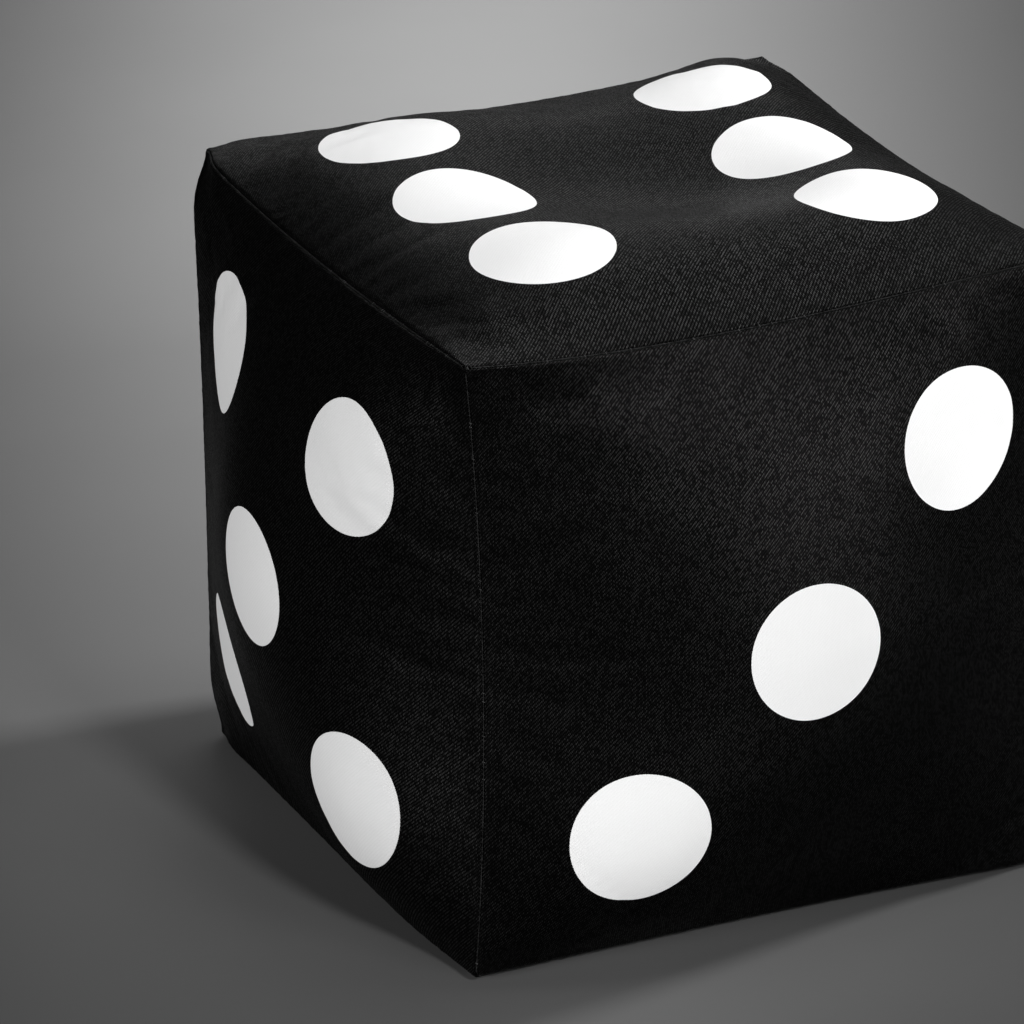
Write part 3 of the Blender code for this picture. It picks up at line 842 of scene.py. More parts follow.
@dataclass
class PulledCloth:
    """What filling does to sewn cloth: a simulation of the cover's skin, blown up between its seams."""

    cushion: Cushion
    cells: int = 56
    spare: float = 0.022
    pressure: float = 4.0
    frames: int = 20
    cap: float = 0.004
    blur: float = 0.018
    share: float = 0.30

    def __post_init__(self) -> None:
        size = self.cells + 1
        self.relief = {face: np.zeros((size, size)) for face in Face}
        self.simulate()

    def simulate(self) -> None:
        """Blows the skin up and keeps how its folds differ from its smooth shape."""
        size = self.cells + 1
        u, v = np.meshgrid(np.linspace(-1, 1, size), np.linspace(-1, 1, size))
        points, quads, pins = [], [], []
        for number, face in enumerate(Face):
            points.append(self.cushion.at(face, u, v).reshape(-1, 3))
            quads.append(grid_quads(size, size, face.mirrored).reshape(-1, 4) + number * size * size)
            held = (abs(u) > 0.999) | (abs(v) > 0.999) | (face is Face.BOTTOM)
            if face is Face.BACK:
                held = held | (abs(v - self.cushion.zip.v) < 0.08)
            pins.append(held.ravel())
        rest, faces, number = welded(np.concatenate(points), np.concatenate(quads))
        pinned = np.zeros(len(rest), bool)
        np.logical_or.at(pinned, number, np.concatenate(pins))
        moved = self.blown(rest, faces, pinned)
        shift = (moved - rest)[number].reshape(len(Face), size, size, 3)
        for face, change in zip(Face, shift):
            along = (change * self.cushion.out(face, u, v)).sum(-1)
            folds = along - self.smoothed(along)
            edge = np.minimum(1 - abs(u), 1 - abs(v)) * HALF
            folds = folds * smooth(edge / 0.012)
            self.relief[face] = self.share * self.cap * np.tanh(folds / self.cap)
            LOG.info("cloth on the %s: folds of %.2f mm", face.name.lower(), np.abs(folds).max() / MM)

    def blown(self, rest: Array, faces: Array, pinned: Array) -> Array:
        """The skin after the simulation.

        Args:
            rest: The skin's points.
            faces: Its faces.
            pinned: Which points the seams hold.

        Returns:
            The points where they came to rest.
        """
        skin = shown("skin_to_blow", mesh_from("skin_to_blow", rest, faces))
        group = skin.vertex_groups.new(name="seams")
        group.add(np.flatnonzero(pinned).tolist(), 1.0, "REPLACE")
        cloth = skin.modifiers.new("cloth", "CLOTH")
        settings = cloth.settings
        settings.quality = 6
        settings.mass = 0.25
        settings.tension_stiffness = settings.compression_stiffness = 18
        settings.shear_stiffness = 6
        settings.bending_stiffness = 0.35
        settings.tension_damping = settings.compression_damping = 8
        settings.air_damping = 4
        settings.use_pressure = True
        settings.uniform_pressure_force = self.pressure
        settings.shrink_min = -self.spare
        settings.vertex_group_mass = "seams"
        settings.effector_weights.gravity = 0
        cloth.collision_settings.use_collision = False
        cloth.point_cache.frame_start, cloth.point_cache.frame_end = 1, self.frames
        scene = bpy.context.scene
        for number in range(1, self.frames + 1):
            scene.frame_set(number)
        found = skin.evaluated_get(bpy.context.evaluated_depsgraph_get())
        moved = np.zeros(len(rest) * 3, np.float32)
        found.data.vertices.foreach_get("co", moved)
        scene.frame_set(1)
        bpy.data.objects.remove(skin)
        return moved.reshape(-1, 3).astype(float)

    def smoothed(self, values: Array) -> Array:
        """The values averaged over a stretch of cloth."""
        step = SIDE / self.cells
        reach = int(3 * self.blur / step)
        weight = np.exp(-0.5 * (np.arange(-reach, reach + 1) * step / self.blur) ** 2)
        weight /= weight.sum()
        wide = np.pad(values, reach, mode="edge")
        wide = np.apply_along_axis(np.convolve, 0, wide, weight, "valid")
        return np.apply_along_axis(np.convolve, 1, wide, weight, "valid")

    def at(self, face: Face, u: Array, v: Array) -> Array:
        """The relief at some places on a face, in metres."""
        x, y = (u + 1) / 2 * self.cells, (v + 1) / 2 * self.cells
        i, j = (np.clip(value.astype(int), 0, self.cells - 1) for value in (x, y))
        a, b, grid = x - i, y - j, self.relief[face]
        low = grid[j, i] * (1 - a) + grid[j, i + 1] * a
        high = grid[j + 1, i] * (1 - a) + grid[j + 1, i + 1] * a
        return low * (1 - b) + high * b


@dataclass
class SeamGather:
    """What sewing does to the cloth: the edge rolls into the seam and the cloth puckers beside it."""

    cushion: Cushion
    pulled: PulledCloth
    roll: float = 0.0042
    depth: float = 0.0032
    gap: float = 0.0010
    pucker: float = 0.00030
    fade: float = 0.012
    slant: float = 0.55
    ripple: float = 0.0007
    seed: int = 7

    lengths = (7.2, 9.8, 13.5, 21.0)
    shares = (0.30, 0.38, 0.34, 0.30)

    def __post_init__(self) -> None:
        """Draws each seam's own rhythm and each face's ripples."""
        draw = np.random.default_rng(self.seed)
        self.rhythm = {seam: draw.uniform(0, 2 * math.pi, 10) for seam in self.cushion.seams}
        self.ripples = {face: draw.uniform(0, 1, (9, 3)) for face in Face}

    def puckers(self, seam: Seam, t: Array, distance: Array) -> Array:
        """The puckers beside a seam.

        Args:
            seam: The seam.
            t: Places along it, from -1 to 1.
            distance: How far from it, in metres.

        Returns:
            How far the cloth stands out, in metres.
        """
        phase = self.rhythm[seam]
        place = (t + 1) * HALF / MM + self.slant * distance / MM
        wave = np.zeros(np.broadcast(place, distance).shape)
        for number, (length, share) in enumerate(zip(self.lengths, self.shares)):
            wander = 1.3 * np.sin(place / (9 + 4 * number) + phase[number + 4])
            wave = wave + share * np.cos(2 * math.pi * place / length + phase[number] + wander)
        strength = 0.62 + 0.38 * np.sin(place / 27 + phase[8]) * np.sin(place / 11.5 + phase[9])
        reach = self.fade * (0.8 + 0.5 * np.sin(place / 17 + phase[4]))
        return self.pucker * wave * strength * np.exp(-((distance / reach) ** 1.2))

    def soft_ripples(self, face: Face, u: Array, v: Array) -> Array:
        """Long soft ripples of slack over a face, in metres."""
        rise = np.zeros(u.shape)
        for turn, shift, size in self.ripples[face]:
            angle, length = turn * math.pi, 0.16 + 0.34 * size
            way = u * math.cos(angle) + v * math.sin(angle) + 0.12 * np.sin(3.1 * (u - v) + 9 * shift)
            rise = rise + np.sin(2 * math.pi * (way / length + shift)) * (0.35 + size) / 4
        slack = 0.35 + 0.65 * smooth((np.maximum(abs(u), abs(v)) - 0.35) / 0.5)
        return self.ripple * rise * slack * (1 - u**6) * (1 - v**6)

    def edge_distance(self, seam_side: Array) -> Array:
        """How far places are from the seam at one side of a face, in metres."""
        return np.clip(1 - seam_side, 0, 2) * HALF

    def rolled(self, distance: Array) -> Array:
        """How deep the cloth has rolled in at a distance from its seam."""
        near = np.clip(1 - distance / self.roll, 0, 1)
        return self.depth * (1 - np.sqrt(1 - near**2))

    def skin(self, face: Face, u: Array, v: Array, open_edge: bool = False) -> Array:
        """The finished outer surface of the cover.

        Args:
            face: The face that the places are on.
            u: Places across the face.
            v: Places up the face.
            open_edge: Whether the lower end of v is the zip's edge; not used.

        Returns:
            A point for each place, in metres.
        """
        rise = self.pulled.at(face, u, v) + self.soft_ripples(face, u, v)
        drop = np.zeros((*u.shape, 3))
        across, up = face.across
        for along, other, t, value in ((up, across, v, u), (across, up, u, v)):
            for side in (-1, 1):
                distance = self.edge_distance(value * side)
                seam = self.cushion.seam_of(face, along, side)
                rise = rise + self.puckers(seam, t, distance)
                beyond = np.zeros(3)
                beyond[other] = side
                inward = (face.normal + beyond) / math.sqrt(2)
                apart = (face.normal - beyond) / math.sqrt(2)
                drop += self.rolled(distance)[..., None] * inward
                drop -= (self.gap / 2 * np.exp(-distance / self.roll))[..., None] * apart
        if face is Face.BOTTOM:
            rise = np.minimum(rise, 0)
        if face is Face.BACK:
            near = np.exp(-(((v - self.cushion.zip.v) * HALF / 0.014) ** 2))
            rise = rise * (1 - near * (1 - abs(u) ** 24))
        place = self.cushion.at(face, u, v) + self.cushion.out(face, u, v) * rise[..., None] - drop
        place[..., 2] = np.maximum(place[..., 2], 0)
        return place


# ---------------------------------------------------------------------------------------------------
# The cover
# ---------------------------------------------------------------------------------------------------


def edge_lines(low: float, high: float, step: float) -> Array:
    """Grid lines from low to high in metres, closer together where the cloth rolls in at each end.

    Args:
        low: The first line.
        high: The last line.
        step: The distance between lines in the middle.

    Returns:
        The lines.
    """
    near = np.array([0, 0.15, 0.45, 0.9, 1.5, 2.2, 3.1, 4.3, 5.9]) * MM
    cells = round((high - low - 2 * near[-1]) / step)
    middle = np.linspace(low + near[-1], high - near[-1], cells + 1)
    return np.concatenate([low + near[:-1], middle, (high - near[:-1])[::-1]])


@dataclass
class Cover:
    """The seven pieces of printed twill."""

    gather: SeamGather
    effects: Effects
    finish: TwillFinish = TwillFinish()
    cloth: float = 0.0010
    allowance: float = 0.010
    step: float = 0.0028
    dot_spacing: float = 0.1213
    dot_columns: float = 0.1198

    def dots(self, face: Face) -> tuple[tuple[float, float], ...]:
        """The middles of a face's dots on the flat cloth; opposite faces add up to seven."""
        s, c = self.dot_spacing, self.dot_columns
        return {
            Face.FRONT: ((-s, -s), (0, 0), (s, s)),
            Face.LEFT: ((-s, -s), (-s, s), (0, 0), (s, -s), (s, s)),
            Face.TOP: ((-c, -s), (-c, 0), (-c, s), (c, -s), (c, 0), (c, s)),
            Face.RIGHT: ((-s, s), (s, -s)),
            Face.BACK: ((-s, -s), (-s, s), (s, -s), (s, s)),
            Face.BOTTOM: ((0, 0),),
        }[face]

    def build(self) -> None:
        """Makes and places every panel."""
        for face in Face:
            name = f"cover_{face.name.lower()}"
            material = self.finish.material(f"{name}_twill", self.effects, self.dots(face))
            if face is Face.BACK:
                self.back_panel(f"{name}_upper", f"{name}_panel", material, 1)
                self.back_panel(f"{name}_lower", f"{name}_lower_panel", material, -1)
            else:
                self.whole_panel(face, name, material)

    def whole_panel(self, face: Face, name: str, material: bpy.types.Material) -> None:
        """One face cut as a single square, with its allowance turned in all round."""
        lines = edge_lines(-HALF, HALF, self.step) / HALF
        u, v = np.meshgrid(lines, lines)
        flat = np.stack([u, v], -1) * HALF
        skin = self.gather.skin(face, u, v)
        points, flat = self.turned_in(face, skin, flat, (True, True, True, True))
        self.finished(face, name, f"{name}_panel", points, flat, material)

    def turned_in(self, face: Face, skin: Array, flat: Array, sewn: tuple[bool, ...]) -> tuple[Array, Array]:
        """Adds the allowance that is turned in behind each sewn edge.

        Args:
            face: The panel's face.
            skin: The panel's points, in rows.
            flat: The same points on the flat cloth.
            sewn: Whether the low and high end of the columns, then of the rows, are sewn to a neighbour.

        Returns:
            The points and their flat places, with two more rows or columns at each sewn edge.
        """
        for axis, other in ((1, face.across[0]), (0, face.across[1])):
            for side in (-1, 1):
                if not sewn[2 * (1 - axis) + (side + 1) // 2]:
                    continue
                edge = np.take(skin, [0 if side < 0 else -1], axis=axis)
                flat_edge = np.take(flat, [0 if side < 0 else -1], axis=axis)
                beyond = np.zeros(3)
                beyond[other] = side
                inward = (face.normal + beyond) / math.sqrt(2)
                for depth in (0.35, 1.0):
                    way = np.zeros(2)
                    way[1 - axis] = side
                    more = [edge - inward * self.allowance * depth, flat_edge + way * self.allowance * depth]
                    parts = [[skin, more[0]], [flat, more[1]]]
                    if side < 0:
                        parts = [pair[::-1] for pair in parts]
                    skin, flat = (np.concatenate(pair, axis=axis) for pair in parts)
        skin[..., 2] = np.maximum(skin[..., 2], 0.0)
        return skin, flat

    def back_panel(self, name: str, node: str, material: bpy.types.Material, side: int) -> None:
        """The back above or below the zip, its edge folded in along the opening.

        Args:
            name: The piece's name.
            node: The solid that it stands for.
            material: Its finish.
            side: 1 for the piece above the zip, -1 for the one below.
        """
        place = self.gather.cushion.zip
        across = edge_lines(-HALF, HALF, self.step) / HALF
        length = HALF - side * (place.height - HALF)
        down = edge_lines(0, length, self.step) / length
        u, q = np.meshgrid(across, down)
        gap = (self.gather.gap + (place.opening - self.gather.gap) * place.share(u * HALF)) / 2
        start = place.v + side * gap / HALF
        v = start + (side - start) * q
        skin = self.gather.skin(Face.BACK, u, v)
        distance = q * length
        skin[..., 1] -= 0.0012 * (1 - np.sqrt(1 - np.clip(1 - distance / 0.0016, 0, 1) ** 2))
        flat = np.stack([u, v], -1) * HALF
        fold = self.allowance + (place.fold - self.allowance) * place.share(u[:1] * HALF)
        rows, flats = [skin], [flat]
        for depth in (0.5, 1.0):
            row, cut = skin[:1].copy(), flat[:1].copy()
            row[..., 1] = skin[:1, :, 1] + (0.0012 - fold) * depth
            cut[..., 1] -= side * fold * depth
            rows.insert(0, row)
            flats.insert(0, cut)
        skin, flat = np.concatenate(rows), np.concatenate(flats)
        if side < 0:
            skin, flat = skin[::-1], flat[::-1]
        sewn = (True, True, side < 0, side > 0)
        points, flat = self.turned_in(Face.BACK, skin, flat, sewn)
        self.finished(Face.BACK, name, node, points, flat, material)

    def finished(
        self, face: Face, name: str, node: str, points: Array, flat: Array, material: bpy.types.Material
    ) -> None:
        """Makes a panel's mesh, gives it cloth thickness and places it.

        Args:
            face: The panel's face.
            name: The piece's name.
            node: The solid that it stands for.
            points: Its points, in rows.
            flat: The same points on the flat cloth.
            material: Its finish.
        """
        rows, columns = points.shape[:2]
        quads = grid_quads(rows, columns, face.mirrored)
        keep = np.ones(quads.shape[:2], bool)
        turned_columns, turned_rows = self.turned_lines(flat)
        keep[np.ix_(turned_rows, turned_columns)] = False
        if face.mirrored:
            flat = flat * (-1, 1)
        used = quads[keep]
        number = np.full(rows * columns, -1)
        number[np.unique(used)] = np.arange(len(np.unique(used)))
        inside = number >= 0
        mesh = mesh_from(name, points.reshape(-1, 3)[inside], number[used], flat.reshape(-1, 2)[inside])
        panel = shown(name, mesh, material)
        thicken(panel, self.cloth)
        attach(panel, "cushion")
        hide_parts(node)

    def turned_lines(self, flat: Array) -> tuple[Array, Array]:
        """Which columns and rows of cells are allowance beyond the face's own seams."""
        found = []
        for axis in (0, 1):
            lines = flat[flat.shape[0] // 2, :, 0] if axis == 0 else flat[:, flat.shape[1] // 2, 1]
            middle = (lines[1:] + lines[:-1]) / 2
            found.append(abs(middle) > HALF)
        return found[0], found[1]


# ---------------------------------------------------------------------------------------------------
# Stitches and other rows, by Geometry Nodes
# ---------------------------------------------------------------------------------------------------


@dataclass(frozen=True)
class RowSizes:
    """A row of stitches or teeth on a line: their spacing, size and the cord that they sit on, in metres."""

    pitch: float
    length: float
    thickness: float
    cord: float
    seed: int = 3


class RowMaker:
    """Builds rows of small round pieces along a line, with a cord under them."""

    inputs = ("Pitch", "Length", "Thickness", "Cord Radius", "Seed")

    def __init__(self) -> None:
        """Builds the node tree once."""
        self.tree = bpy.data.node_groups.new("row_on_a_line", "GeometryNodeTree")
        face = self.tree.interface
        face.new_socket("Geometry", in_out="INPUT", socket_type="NodeSocketGeometry")
        self.sockets = {}
        for name in self.inputs:
            kind = "NodeSocketInt" if name == "Seed" else "NodeSocketFloat"
            self.sockets[name] = face.new_socket(name, in_out="INPUT", socket_type=kind).identifier
        made = face.new_socket("Finish", in_out="INPUT", socket_type="NodeSocketMaterial")
        self.sockets["Finish"] = made.identifier
        face.new_socket("Geometry", in_out="OUTPUT", socket_type="NodeSocketGeometry")
        self.fill()

    def fill(self) -> None:
        """Adds the nodes: a curve, stitches on it, a cord along it, and one plain mesh at the end."""
        nodes = Nodes(self.tree)
        given = nodes.add("NodeGroupInput").outputs
        curve = nodes.add("GeometryNodeMeshToCurve", {"Mesh": given["Geometry"]}).outputs[0]
        spaced = nodes.add("GeometryNodeResampleCurve", mode="LENGTH")
        nodes.give(spaced.inputs["Curve"], curve)
        nodes.give(spaced.inputs["Length"], given["Pitch"])
        ball = nodes.add("GeometryNodeMeshUVSphere", {"Segments": 8, "Rings": 5, "Radius": 0.5}).outputs[0]
        size = nodes.add("ShaderNodeCombineXYZ", {"X": given["Length"], "Y": given["Thickness"]})
        nodes.give(size.inputs["Z"], given["Thickness"])
        across = nodes.add("GeometryNodeInputNamedAttribute", {"Name": "across"}, data_type="FLOAT_VECTOR")
        turn = nodes.add("FunctionNodeAlignRotationToVector", axis="X")
        nodes.give(turn.inputs["Vector"], across.outputs[0])
        placed = nodes.add("GeometryNodeInstanceOnPoints", {"Points": spaced.outputs[0], "Instance": ball})
        nodes.give(placed.inputs["Rotation"], turn.outputs[0])
        nodes.give(placed.inputs["Scale"], size.outputs[0])
        chance = nodes.add("FunctionNodeRandomValue", data_type="FLOAT")
        nodes.give(chance.inputs["Seed"], given["Seed"])
        value = next(s for s in chance.outputs if s.enabled)
        marked = nodes.add("GeometryNodeStoreNamedAttribute", data_type="FLOAT", domain="INSTANCE")
        nodes.give(marked.inputs["Geometry"], placed.outputs[0])
        marked.inputs["Name"].default_value = "glint"
        nodes.give(next(s for s in marked.inputs if s.name == "Value" and s.enabled), value)
        ring = nodes.add("GeometryNodeCurvePrimitiveCircle", {"Resolution": 6}).outputs[0]
        thin = nodes.add("GeometryNodeTransform", {"Geometry": ring})
        scale = nodes.add("ShaderNodeCombineXYZ", {name: given["Cord Radius"] for name in "XYZ"})
        nodes.give(thin.inputs["Scale"], scale.outputs[0])
        cord = nodes.add("GeometryNodeCurveToMesh", {"Curve": curve, "Profile Curve": thin.outputs[0]})
        cord.inputs["Fill Caps"].default_value = True
        both = nodes.add("GeometryNodeJoinGeometry")
        nodes.give(both.inputs[0], cord.outputs[0])
        nodes.give(both.inputs[0], marked.outputs[0])
        plain = nodes.add("GeometryNodeRealizeInstances", {"Geometry": both.outputs[0]})
        dressed = nodes.add("GeometryNodeSetMaterial", {"Geometry": plain.outputs[0]})
        nodes.give(dressed.inputs["Material"], given["Finish"])
        result = nodes.add("NodeGroupOutput")
        nodes.give(result.inputs[0], dressed.outputs[0])

    def row(
        self, name: str, lines: list[tuple[Array, Array]], sizes: RowSizes, material: bpy.types.Material
    ) -> bpy.types.Object:
        """A plain mesh of rows along some lines.

        Args:
            name: The piece's name.
            lines: Each line's points, and the direction that its stitches lie in at each.
            sizes: The sizes of the row.
            material: Its finish.

        Returns:
            The piece, at the origin.
        """
        mesh = bpy.data.meshes.new(f"{name}_line")
        points = np.concatenate([line for line, _ in lines])
        edges, start = [], 0
        for line, _ in lines:
            edges += [(start + i, start + i + 1) for i in range(len(line) - 1)]
            start += len(line)
        mesh.from_pydata(points.tolist(), edges, [])
        ways = mesh.attributes.new("across", "FLOAT_VECTOR", "POINT")
        ways.data.foreach_set("vector", np.concatenate([way for _, way in lines]).astype(np.float32).ravel())
        guide = bpy.data.objects.new(f"{name}_line", mesh)
        bpy.context.scene.collection.objects.link(guide)
        rows = guide.modifiers.new("row", "NODES")
        rows.node_group = self.tree
        values = (sizes.pitch, sizes.length, sizes.thickness, sizes.cord, sizes.seed)
        for label, value in zip(self.inputs, values):
            rows[self.sockets[label]] = value
        rows[self.sockets["Finish"]] = material
        graph = bpy.context.evaluated_depsgraph_get()
        made = bpy.data.meshes.new_from_object(guide.evaluated_get(graph), depsgraph=graph)
        made.name = name
        bpy.data.objects.remove(guide)
        piece = shown(name, made)
        if not len(made.materials):
            made.materials.append(material)
        LOG.info("%s: %d faces", name, len(made.polygons))
        return piece


@dataclass
class Seams:
    """The stitching in the cover's seams and beside its zip."""

    gather: SeamGather
    rows: RowMaker
    thread: bpy.types.Material
    sizes: RowSizes = RowSizes(pitch=0.0030, length=0.0021, thickness=0.00062, cord=0.00036)
    topstitch: RowSizes = RowSizes(pitch=0.0034, length=0.0027, thickness=0.00055, cord=0.00012)
    sunk: float = 0.0019
    end_gap: float = 0.006
    topstitch_margin: float = 0.0032

    def build(self) -> None:
        """Makes the twelve seams, the two beside the zip and its topstitching."""
        names = {0: {-1: "front", 1: "back"}, 1: {-1: "left", 1: "right"}}
        for number, seam in enumerate(self.gather.cushion.seams):
            along, first, second = seam
            if along == 2:
                name = f"{'front' if second < 0 else 'back'}_{'left' if first < 0 else 'right'}"
            else:
                name = f"{'bottom' if second < 0 else 'top'}_{names[along][first]}"
            self.seam(f"seam_thread_{name}", seam, number)
        self.zip_ends()
        self.zip_topstitch()

    def placed(self, piece: bpy.types.Object, *nodes: str) -> None:
        """Sets a piece of thread into the cushion."""
        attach(piece, "cushion")
        if nodes:
            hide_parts(*nodes)

    def seam(self, node: str, seam: Seam, number: int) -> None:
        """The thread in one seam, with its stitches from edge to edge of the groove."""
        along, first, second = seam
        reach = 1 - self.end_gap / HALF
        t = np.linspace(-reach, reach, 150)
        others = [axis for axis in range(3) if axis != along]
        ways = np.zeros((2, 3))
        ways[0, others[0]], ways[1, others[1]] = first, second
        outward, apart = (ways[0] + ways[1]) / math.sqrt(2), (ways[0] - ways[1]) / math.sqrt(2)
        stood = (self.gather.puckers(seam, t, np.zeros(len(t))))[:, None] * outward
        points = self.gather.cushion.seam_points(seam, t) + stood - outward * self.sunk
        points[:, 2] = np.maximum(points[:, 2], 0.0008)
        tangent = np.gradient(points, axis=0)
        tangent /= np.linalg.norm(tangent, axis=1, keepdims=True)
        sizes = RowSizes(self.sizes.pitch, self.sizes.length, self.sizes.thickness, self.sizes.cord, number + 1)
        piece = self.rows.row(f"stitches_{node[12:]}", [(points, apart + 0.35 * tangent)], sizes, self.thread)
        self.placed(piece, node)

    def zip_ends(self) -> None:
        """The short seams that close the back at each end of the zip."""
        place = self.gather.cushion.zip
        sewn = (place.length / 2 + place.runout + place.taper) / HALF
        for side, sign in (("left", -1), ("right", 1)):
            u = sign * np.linspace(sewn + 0.001, 1 - self.end_gap / HALF, 12)
            points = self.gather.cushion.at(Face.BACK, u, np.full(12, place.v))
            points[:, 1] -= 0.0008
            way = np.tile([0.3, 0.0, 1.0], (12, 1))
            piece = self.rows.row(f"stitches_zip_{side}", [(points, way)], self.sizes, self.thread)
            self.placed(piece, f"seam_thread_zip_{side}")

    def zip_topstitch(self) -> None:
        """A row of stitches above and below the zip's opening, through the folded cloth."""
        place = self.gather.cushion.zip
        x = np.linspace(-1, 1, 120) * (place.length / 2 + place.runout - 0.004)
        for name, side in (("upper", 1), ("lower", -1)):
            v = place.v + side * (place.opening / 2 + self.topstitch_margin) / HALF
            points = self.gather.skin(Face.BACK, x / HALF, np.full(len(x), v))
            points[:, 1] += 0.0001
            way = np.tile([1.0, 0.0, 0.0], (len(x), 1))
            piece = self.rows.row(f"zip_topstitch_{name}", [(points, way)], self.topstitch, self.thread)
            self.placed(piece)


# ---------------------------------------------------------------------------------------------------
# The zip
# ---------------------------------------------------------------------------------------------------


def rounded_box(low: tuple[float, ...], high: tuple[float, ...], rounding: float) -> bmesh.types.BMesh:
    """A box with its edges rounded.

    Args:
        low: Its lowest corner.
        high: Its highest corner.
        rounding: How far its edges are rounded.

    Returns:
        The box, to be joined with others.
    """
    made = bmesh.new()
    bmesh.ops.create_cube(made, size=1)
    size = Vector(high) - Vector(low)
    middle = (Vector(high) + Vector(low)) / 2
    bmesh.ops.transform(made, matrix=Matrix.Translation(middle) @ Matrix.Diagonal((*size, 1)), verts=made.verts)
    if rounding:
        bmesh.ops.bevel(made, geom=made.edges, offset=rounding, segments=2, profile=0.6, affect="EDGES")
    return made


def joined(name: str, parts: list[bmesh.types.BMesh]) -> bpy.types.Mesh:
    """One mesh of several closed shapes."""
    mesh = bpy.data.meshes.new(name)
    whole = bmesh.new()
    for part in parts:
        part.to_mesh(mesh)
        part.free()
        whole.from_mesh(mesh)
    whole.to_mesh(mesh)
    whole.free()
    return mesh


